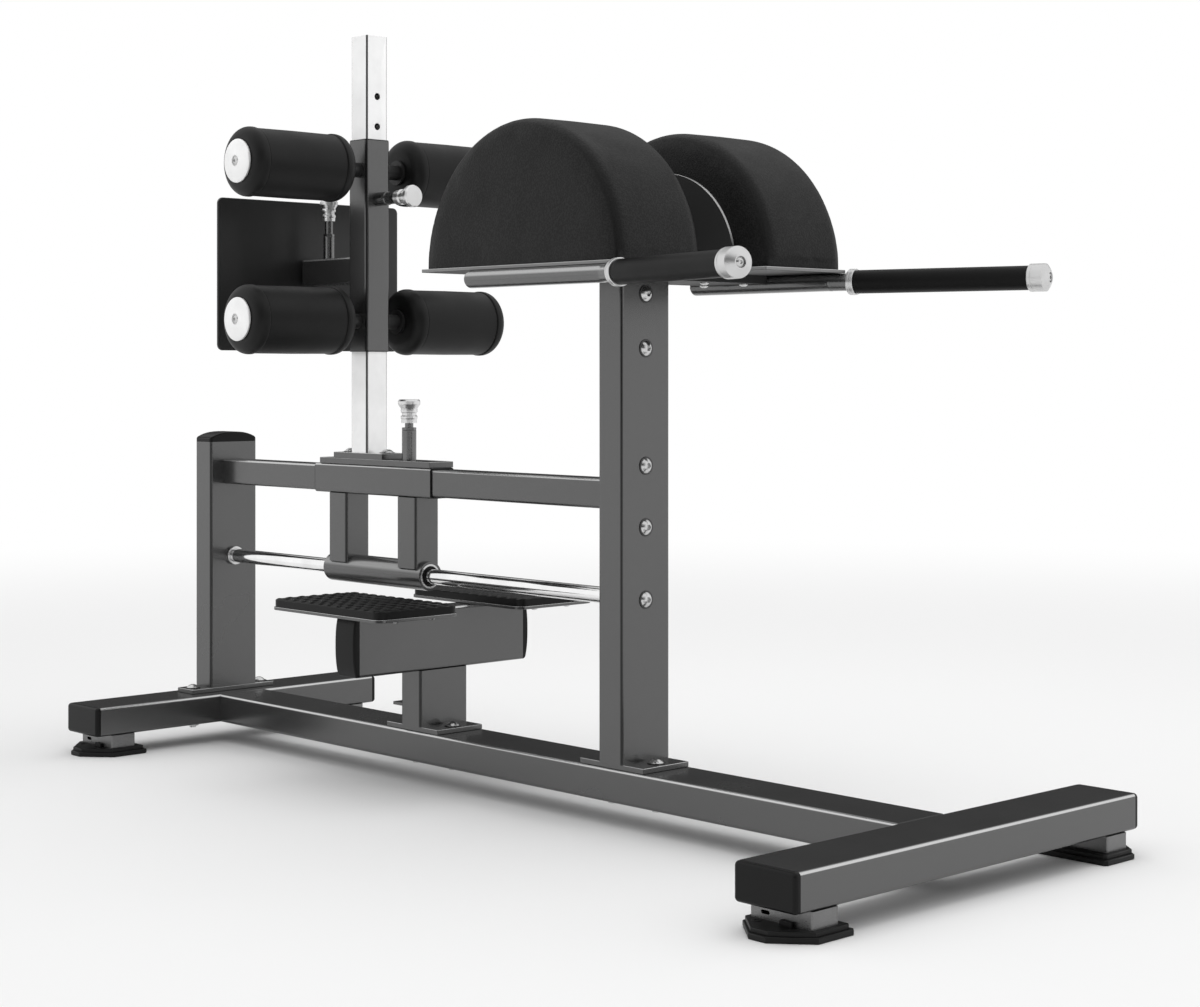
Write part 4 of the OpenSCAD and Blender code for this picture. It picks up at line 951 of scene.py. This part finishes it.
@dataclass
class StepUnit(Unit):
    """The step: stub, beam, plates and rubber treads."""

    centre_x: float = -0.2275
    centre_y: float = 0.1435
    beam_end: float = 0.1715
    beam_mid: float = 0.235
    half_x: float = 0.1435
    half_y: float = 0.0815
    plate_z: float = 0.285
    tread_z: float = 0.29
    tread_top: float = 0.301
    stud: float = 0.003
    pitch: float = 0.024
    inset: float = 0.002
    corner: float = 0.015
    border: float = 0.004
    cells: tuple[int, int] = (118, 66)

    def build(self) -> None:
        """Makes the plates and treads and dresses the rest."""
        self.shop.dress(PAINT, "step_stub", "step_beam")
        self.shop.dress(ZINC, "tread_screws")
        plates, treads = [], []
        for side in Side:
            y = self.centre_y * side.value
            low = (self.centre_x - self.half_x, y - self.half_y, self.plate_z)
            high = (self.centre_x + self.half_x, y + self.half_y, self.tread_z)
            plates.append(rounded_block(low, high, 2, 0.016, 0.0008))
            treads.append(self.tread(y))
        self.shop.piece("step_plate_pair", plates, PAINT, "step_plates")
        self.shop.piece("tread_pair", treads, TREAD, "step_treads", smooth=60)

    def tread(self, y: float) -> BMesh:
        """One mat whose top carries rows of rounded studs.

        Args:
            y: its middle.

        Returns:
            The mesh.
        """
        sx, sy = self.half_x - self.inset, self.half_y - self.inset
        mat = bmesh.new()
        bmesh.ops.create_grid(mat, x_segments=self.cells[0], y_segments=self.cells[1], size=0.5)
        bmesh.ops.scale(mat, vec=(2 * sx, 2 * sy, 1), verts=mat.verts)
        for v in mat.verts:
            margin = self.round_in(v, sx, sy)
            waves = [0.5 + 0.5 * math.cos(math.tau * c / self.pitch) for c in (v.co.x, v.co.y)]
            rise = min(1.0, 1.5 * math.sqrt(waves[0] * waves[1]))
            v.co.z = self.tread_top + self.stud * rise * min(1.0, margin / self.border)
        rim = open_edges(mat)
        for v in bmesh.ops.extrude_edge_only(mat, edges=rim)["geom"]:
            if isinstance(v, BMVert):
                v.co.z = self.tread_z
        bmesh.ops.holes_fill(mat, edges=open_edges(mat), sides=0)
        bmesh.ops.recalc_face_normals(mat, faces=mat.faces)
        soften(mat, rim, 0.0009, 2)
        bmesh.ops.translate(mat, vec=(self.centre_x, y, 0), verts=mat.verts)
        return mat

    def round_in(self, v: BMVert, sx: float, sy: float) -> float:
        """Draws a point of a square corner into the round one.

        Args:
            v: the point.
            sx: half the mat's length.
            sy: half the mat's width.

        Returns:
            The point's distance from the mat's edge.
        """
        dx = abs(v.co.x) - (sx - self.corner)
        dy = abs(v.co.y) - (sy - self.corner)
        far = max(dx, dy)
        if dx <= 0 or dy <= 0:
            return max(0.0, self.corner - far)
        share = far / math.hypot(dx, dy)
        v.co.x = math.copysign(sx - self.corner + dx * share, v.co.x)
        v.co.y = math.copysign(sy - self.corner + dy * share, v.co.y)
        return self.corner - far


@dataclass
class HipPads(Unit):
    """The two half-round hip pads, their plates and what carries them."""

    centre_x: float = 0.243
    plate_from: Point = (0.033, 0.06, 0.8165)
    plate_to: Point = (0.453, 0.235, 0.8215)
    back_radius: float = 0.147
    back_thick: float = 0.005
    base_z: float = 0.8215
    radius: float = 0.2085
    inner: float = 0.06515
    width: float = 0.17
    edge: float = 0.014
    crown: float = 0.0012
    puff: float = 0.0016
    slack: float = 0.0008
    skirt: float = 0.012
    square_below: float = 0.1

    def build(self) -> None:
        """Makes the pads and the seat plates and dresses the rest."""
        self.shop.dress(PAINT, "pad_carrier")
        self.shop.dress(SEAT_PAINT, "cross_plate")
        self.shop.dress(ZINC, "seat_screws")
        self.shop.dress(PLY, "pad_boards")
        self.plates()
        form = self.seated(puffed(self.cushion(), self.puff))
        for side in Side:
            name = f"{side.name.lower()}_hip_pad"
            pad = self.shop.piece(f"{name}_cover", [turned(form.copy(), side.flip)], VINYL, name, smooth=60)
            finer = pad.modifiers.new("finer", "SUBSURF")
            finer.levels = finer.render_levels = 1
        form.free()

    def plates(self) -> None:
        """Makes the seat plates and their half-round backs."""
        flats, backs = [], []
        for side in Side:
            flats.append(turned(block(self.plate_from, self.plate_to, 0.0008, 3), side.flip))
            back = prism(arc(0.0, 0.0, self.back_radius, 0, 180, 64), 0.0, self.back_thick, 0.0009)
            turned(back, at(self.centre_x, self.plate_from[1], 0.8209) @ SWAP_YZ)
            backs.append(turned(back, side.flip))
        self.shop.piece("seat_plate_pair", flats, SEAT_PAINTED_SHEEN, "seat_plates")
        self.shop.piece("seat_back_pair", backs, SEAT_PAINT, "seat_plates")

    def cushion(self) -> BMesh:
        """One pad on its left side: a turned half-round with soft shoulders and a hem under its base.

        Returns:
            The mesh.
        """
        slack = self.slack
        half = self.width / 2 - 0.0003 - slack
        rim = self.radius - self.crown - slack
        outline = [(0.0, -half), (0.07, -half), (0.13, 0.0004 - half)]
        outline.append((rim - self.edge - 0.012, 0.0012 - half))
        outline += arc(rim - self.edge, self.edge + 0.0016 - half, self.edge, -90, 0, 10)
        outline += [(rim + self.crown / 2, -half * 0.5), (rim + self.crown, 0.0)]
        outline += [(r, -y) for r, y in reversed(outline[:-1])]
        pad = spun(outline, SWAP_YZ, (0, -1, 0), math.pi, 144)
        for v in bmesh.ops.extrude_edge_only(pad, edges=open_edges(pad))["geom"]:
            if isinstance(v, BMVert):
                v.co.z -= self.skirt
        bmesh.ops.holes_fill(pad, edges=open_edges(pad), sides=0)
        bmesh.ops.recalc_face_normals(pad, faces=pad.faces)
        return turned(pad, at(self.centre_x, self.inner + self.width / 2, self.base_z))

    def seated(self, form: BMesh) -> BMesh:
        """Flattens a puffed pad where it rests on its board and its back plate, and evens its curved face.

        Args:
            form: the pad on its left side.

        Returns:
            The same mesh, with a creased lower edge.
        """
        for v in form.verts:
            v.co.y = max(v.co.y, self.inner)
            self.square(v)
            self.even(v)
            if abs(v.co.z - self.base_z) < self.puff:
                v.co.z = self.base_z
        cut_above(form, (0, 0, self.base_z), (0, 0, 1))
        bmesh.ops.remove_doubles(form, verts=form.verts, dist=self.puff / 2)
        base = [f for f in form.faces if self.on_base(f.verts)]
        bmesh.ops.dissolve_faces(form, faces=base, use_verts=False)
        form.normal_update()
        crease = form.edges.layers.float.get("crease_edge") or form.edges.layers.float.new("crease_edge")
        for e in form.edges:
            if self.on_base(e.verts) and any(abs(f.normal.z) < 0.7 for f in e.link_faces):
                e[crease] = 1.0
        return form

    def on_base(self, points: Iterable[BMVert]) -> bool:
        """Whether points all lie on the pad's base."""
        return all(abs(v.co.z - self.base_z) < 10 * TINY for v in points)

    def square(self, v: BMVert) -> None:
        """Draws a shoulder's point towards the sharp corner, the more the nearer it is to the base.

        Args:
            v: the point.
        """
        middle, core = self.inner + self.width / 2, self.radius - self.edge
        x, y, z = v.co.x - self.centre_x, v.co.y - middle, max(v.co.z - self.base_z, 0.0)
        reach = math.hypot(x, z)
        out = (reach - core) / self.edge
        side = (abs(y) - (self.width / 2 - self.edge)) / self.edge
        if out <= 0 or side <= 0:
            return
        power = 3.0 + 2.0 * max(0.0, 1.0 - z / self.square_below)
        grow = math.hypot(out, side) / (out**power + side**power) ** (1 / power)
        wide = (core + self.edge * out * grow) / reach
        v.co.x = self.centre_x + x * wide
        v.co.z += z * (wide - 1.0)
        v.co.y = middle + math.copysign(self.width / 2 - self.edge + self.edge * side * grow, y)

    def even(self, v: BMVert) -> None:
        """Brings a point of the curved face to the face's even, slightly crowned round.

        Args:
            v: the point.
        """
        x, z = v.co.x - self.centre_x, v.co.z - self.base_z
        reach = math.hypot(x, z)
        if reach <= self.radius - self.edge / 2 or z <= self.edge:
            return
        depth = self.width / 2 - abs(v.co.y - (self.inner + self.width / 2))
        share = min(1.0, max(0.0, depth / self.edge - 0.6) / 0.8)
        drop = self.crown * (1.0 - min(1.0, depth / (self.width / 2)) ** 0.5)
        scale = 1.0 + share * ((self.radius - drop) / reach - 1.0)
        v.co.x = self.centre_x + x * scale
        v.co.z = self.base_z + z * scale


@dataclass
class Handles(Unit):
    """The two splayed handles with rubber grips and turned ends."""

    bend: Point = (0.428, 0.233, 0.8035)
    splay: float = math.radians(14.8)
    bore: float = 0.0131
    collar_len: float = 0.011
    grip_from: float = 0.0415
    grip_to: float = 0.3125

    def build(self) -> None:
        """Makes grips, collars and end caps and dresses the tubes."""
        self.shop.dress(TUBE_PAINT, "handle_tubes")
        self.shop.dress(ZINC, "handle_bolts")
        self.both("grip_pair", self.grip(), GRIP, "handle_grips")
        self.both("grip_collar_pair", self.collar(), ALUMINIUM, "handle_collars")
        self.both("handle_end_pair", self.end_cap(), ALUMINIUM, "handle_end_caps")

    def both(self, name: str, outline: Profile, finish: Finish, node: str) -> None:
        """Makes a turned piece on both handles.

        Args:
            name: the piece's name.
            outline: its outline, from the bend outward.
            finish: its finish.
            node: the CAD node that it stands for.
        """
        x, y, z = self.bend
        places = [at(x, y * side.value, z) @ facing_x(self.splay * side.value) for side in Side]
        self.shop.piece(name, lathes(outline, places, 72), finish, node, smooth=30)

    def grip(self) -> Profile:
        """The grip's outline, with soft ends."""
        end = [(self.bore, 0.0), (0.0162, 0.0), (0.0172, 0.0008), (0.0175, 0.002)]
        near = [(r, self.grip_from + z) for r, z in end]
        return [*near, *[(r, self.grip_to - z) for r, z in reversed(end)]]

    def collar(self) -> Profile:
        """The collar's outline, with a groove and broken edges."""
        start, stop = self.grip_from - self.collar_len, self.grip_from
        ring = [(self.bore, 0.0), (0.0187, 0.0), (0.0195, 0.0009), (0.0195, 0.0038), (0.0191, 0.0042)]
        ring += [(0.0191, 0.005), (0.0195, 0.0054)]
        far = [(0.0195, stop - 0.0009), (0.0187, stop), (self.bore, stop)]
        return [*[(r, start + z) for r, z in ring], *far]

    def end_cap(self) -> Profile:
        """The end cap's outline: a cylinder with a groove, a low turned cone and a recess for the bolt."""
        cap = [(self.bore, 0.0), (0.0192, 0.0), (0.02, 0.0008), (0.02, 0.0045), (0.0195, 0.005)]
        cap += [(0.0195, 0.0058), (0.02, 0.0063), (0.02, 0.0232)]
        cap += [(0.01862, 0.0244), (0.01678, 0.0256), (0.01264, 0.0281)]
        cap += [(0.008845, 0.0299), (0.0081, 0.03), (0.0073, 0.0297), (0.0073, 0.0255), (0.0, 0.0255)]
        return [(r, self.grip_to + z) for r, z in cap]


@dataclass
class Carriage(Unit):
    """The sliding carriage with its post, plates, legs and bushing tube."""

    half: float = 0.025
    deck_x: Pair = (-0.5105, -0.209)
    flange_x: Pair = (-0.4705, -0.3355)
    deck_low: float = 0.5125
    deck_top: float = 0.5225
    flange_top: float = 0.5325
    post_x: float = -0.403
    bolt_out: float = 0.05

    def build(self) -> None:
        """Makes the plates and the post and dresses the rest."""
        self.shop.dress(PAINT, "carriage_sleeve", "carriage_legs")
        self.shop.dress(ROUND_PAINT, "bushing_tube")
        self.shop.dress(PLASTIC, "carriage_liners")
        self.shop.dress(BRONZE, "rod_bushes")
        self.shop.dress(RUBBER, "bush_seals")
        self.shop.dress(ZINC, "snap_rings", "post_bolts")
        self.shop.dress(BARREL, "carriage_pin_barrel")
        self.shop.dress(KNOB_CHROME, "carriage_pin")
        deck = self.plate(self.deck_x, self.deck_low, self.deck_top)
        flange = self.plate(self.flange_x, self.deck_top, self.flange_top)
        self.shop.piece("carriage_deck", [deck], PAINT, "carriage_plate", body=Body.CARRIAGE)
        self.shop.piece("post_flange", [flange], PAINT, body=Body.CARRIAGE)
        post = cut_above(self.shop.copy_of("ankle_post"), (0, 0, self.flange_top - 0.0001), (0, 0, 1))
        self.shop.piece("chromed_post", [post], CHROME, "ankle_post", body=Body.CARRIAGE)
        spots = [at(self.post_x + dx, 0, self.flange_top) for dx in (-self.bolt_out, self.bolt_out)]
        self.shop.piece("post_washer_pair", lathes(WASHER, spots, 40), DARK_STEEL, body=Body.CARRIAGE)

    def plate(self, span: Pair, low: float, high: float) -> BMesh:
        """A plate with broken edges between two heights."""
        return block((span[0], -self.half, low), (span[1], self.half, high), 0.0008, 3)


@dataclass
class AnkleSupport(Unit):
    """The ankle sleeve, its rollers, their discs, the foot plate and the two pins."""

    axis_x: float = -0.403
    heights: Pair = (1.011, 0.755)
    roller_in: float = 0.061
    roller_len: float = 0.203
    end_r: float = 0.057
    mid_r: float = 0.0555
    disc_y: float = 0.2643
    panel_from: Point = (-0.576, -0.192, 0.706)
    panel_to: Point = (-0.571, 0.192, 0.966)

    def build(self) -> None:
        """Makes the rollers, the discs and the panel and dresses the rest."""
        self.shop.dress(PAINT, "ankle_sleeve", "foot_tube")
        self.shop.dress(PLASTIC, "ankle_liners")
        self.shop.dress(BLACK_STEEL, "roller_axles")
        self.shop.dress(ZINC, "disc_bolts")
        self.shop.dress(BARREL, "ankle_pin_barrel", "foot_pin_barrel")
        self.shop.dress(KNOB_CHROME, "ankle_pin", "foot_pin")
        self.discs()
        self.panel()
        for level, height in zip(("upper", "lower"), self.heights):
            for side in Side:
                self.roller(f"{level}_{side.name.lower()}_roller", height, side)

    def roller(self, name: str, height: float, side: Side) -> None:
        """Makes one foam roller with a raised band at both ends.

        Args:
            name: the name of its CAD node and of its body.
            height: the height of its axis.
            side: its side.
        """
        place = at(self.axis_x, self.roller_in * side.value, height) @ facing_y(side)
        made = lathes(self.outline(), [place], 96)
        foam = self.shop.piece(f"{name}_foam", made, FOAM, name, body=name, smooth=60)

    def outline(self) -> Profile:
        """A roller's outline from its inner face to its outer one."""
        length, big, mid = self.roller_len, self.end_r, self.mid_r
        half = [(0.01262, 0.0035), (0.0155, 0.0006), (0.019, 0.0)]
        half += arc(0.036, 0.0187, 0.021, -90, 0, 10, squash=0.0185 / 0.021)
        half += [(big, 0.0222), (big - 0.0003, 0.0232), (big - 0.0011, 0.0239), (mid - 0.0006, 0.0243)]
        half += [(mid - 0.0006, 0.0249), (mid - 0.0001, 0.0254), (mid, 0.0262), (mid, 0.034)]
        return [*half, (mid + 0.0004, length / 2), *[(r, length - z) for r, z in reversed(half)]]

    def discs(self) -> None:
        """Makes the four polished end discs, domed, with a recess for the bolt."""
        outline = [(0.0045, 0.0), (0.0347, 0.0), (0.0355, 0.0009), (0.0355, 0.0032)]
        outline += arc(0.0, 0.004, 0.0348, 0, 60, 4, squash=0.0035 / 0.0348)
        outline += [(0.0092, 0.0073), (0.0088, 0.0069), (0.0086, 0.0041), (0.0045, 0.0041)]
        spots = [(self.disc_y * side.value, height, side) for height in self.heights for side in Side]
        places = [at(self.axis_x, y, z) @ facing_y(side) for y, z, side in spots]
        discs = lathes(outline, places, 96)
        self.shop.piece("end_disc_set", discs, DISC_METAL, "roller_discs", body=Body.ANKLE)

    def panel(self) -> None:
        """Makes the foot panel with broken edges and keeps the tube that slides behind it."""
        panel = rounded_block(self.panel_from, self.panel_to, 0, 0.01, 0.0012)
        tube = cut_above(self.shop.copy_of("foot_plate"), (self.panel_to[0] + 0.0001, 0, 0), (1, 0, 0))
        self.shop.piece("foot_panel", [panel], PANEL, "foot_plate", body=Body.FOOT)
        self.shop.piece("foot_slide_tube", [tube], PANEL, body=Body.FOOT)


# Camera, floor and light


@dataclass
class Studio:
    """A pale floor, soft light and the photograph's camera."""

    place: Point = (2.5834, -2.2743, 0.6711)
    azimuth: float = math.radians(46.71)
    lens: float = 65.88
    sensor: float = 36.0
    shift_y: float = -0.1105
    lamp_place: Point = (0.5, 0.2, 3.4)
    lamp_size: float = 2.6
    lamp_power: float = 30.0
    floor_grey: float = 0.88
    floor_half: float = 30.0
    fade_from: float = 1.6
    fade_to: float = 5.5

    def build(self) -> None:
        """Makes camera, world, floor and lamp."""
        self.camera()
        self.world()
        self.floor()
        self.lamp()
        bpy.context.scene.view_settings.view_transform = "Standard"

    def camera(self) -> None:
        """Makes the level camera with a vertical shift."""
        data = bpy.data.cameras.new("view")
        data.lens = self.lens
        data.sensor_width = self.sensor
        data.sensor_fit = "HORIZONTAL"
        data.shift_y = self.shift_y
        camera = placed("view", data)
        camera.location = self.place
        camera.rotation_euler = (math.pi / 2, 0, self.azimuth)
        bpy.context.scene.camera = camera

    def world(self) -> None:
        """Makes a white background, and light from the two sides and above, with dark between them."""
        world = bpy.data.worlds.new("studio")
        bpy.context.scene.world = world
        world.use_nodes = True
        sky = Nodes(world.node_tree)
        x, y, z = sky.add("ShaderNodeSeparateXYZ", sky.add("ShaderNodeTexCoord").outputs["Generated"]).outputs
        across = sky.compute("ABSOLUTE", sky.compute("MULTIPLY", sky.compute("ADD", x, y), 0.7071))
        bright = sky.compute("MAXIMUM", sky.ease(across, 0.25, 0.7), sky.ease(z, 0.3, 0.75))
        mix = sky.add("ShaderNodeMix", sky.add("ShaderNodeLightPath").outputs["Is Camera Ray"], b=1.0)
        sky.link(sky.compute("MULTIPLY_ADD", bright, 0.95, 0.06), mix, "A")
        out = sky.tree.nodes["Background"]
        out.inputs["Color"].default_value = (1, 1, 1, 1)
        sky.link(mix.outputs["Result"], out, "Strength")

    def floor(self) -> None:
        """Makes a matt floor that fades into white far away and keeps the shadow."""
        sheet = bmesh.new()
        bmesh.ops.create_grid(sheet, x_segments=1, y_segments=1, size=self.floor_half)
        floor = placed("floor", as_mesh("floor", sheet))
        surface = Surface("studio_floor")
        grey = self.floor_grey
        surface.set(base_color=(grey, grey, grey, 1.0), roughness=0.9, specular_ior_level=0.1)
        far = surface.add("ShaderNodeVectorMath", surface.coords, operation="LENGTH").outputs["Value"]
        fade = surface.ease(far, self.fade_from, self.fade_to)
        white = surface.add("ShaderNodeEmission").outputs["Emission"]
        mix = surface.add("ShaderNodeMixShader", fade, surface.shader.outputs["BSDF"], white)
        surface.link(mix.outputs["Shader"], surface.tree.nodes["Material Output"], "Surface")
        floor.data.materials.append(surface.material)

    def lamp(self) -> None:
        """Makes the overhead soft box, which gloss doesn't show, turned towards the origin."""
        data = bpy.data.lights.new("overhead", "AREA")
        data.shape = "RECTANGLE"
        data.size = data.size_y = self.lamp_size
        data.energy = self.lamp_power
        lamp = placed("overhead", data)
        lamp.location = self.lamp_place
        lamp.rotation_euler = (-Vector(self.lamp_place)).to_track_quat("-Z", "Y").to_euler()
        lamp.visible_glossy = False


def main() -> None:
    """Loads the frame, builds every sub-assembly in order, and logs how many pieces were made."""
    logging.basicConfig(level=logging.INFO, format="%(name)s: %(message)s")
    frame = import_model()
    shop = Workshop(frame)
    Studio().build()
    for unit in (FloorFrame, StepUnit, HipPads, Handles, Carriage, AnkleSupport):
        unit(shop).build()
    LOG.info("%d pieces made", shop.count)


if __name__ == "__main__":
    main()
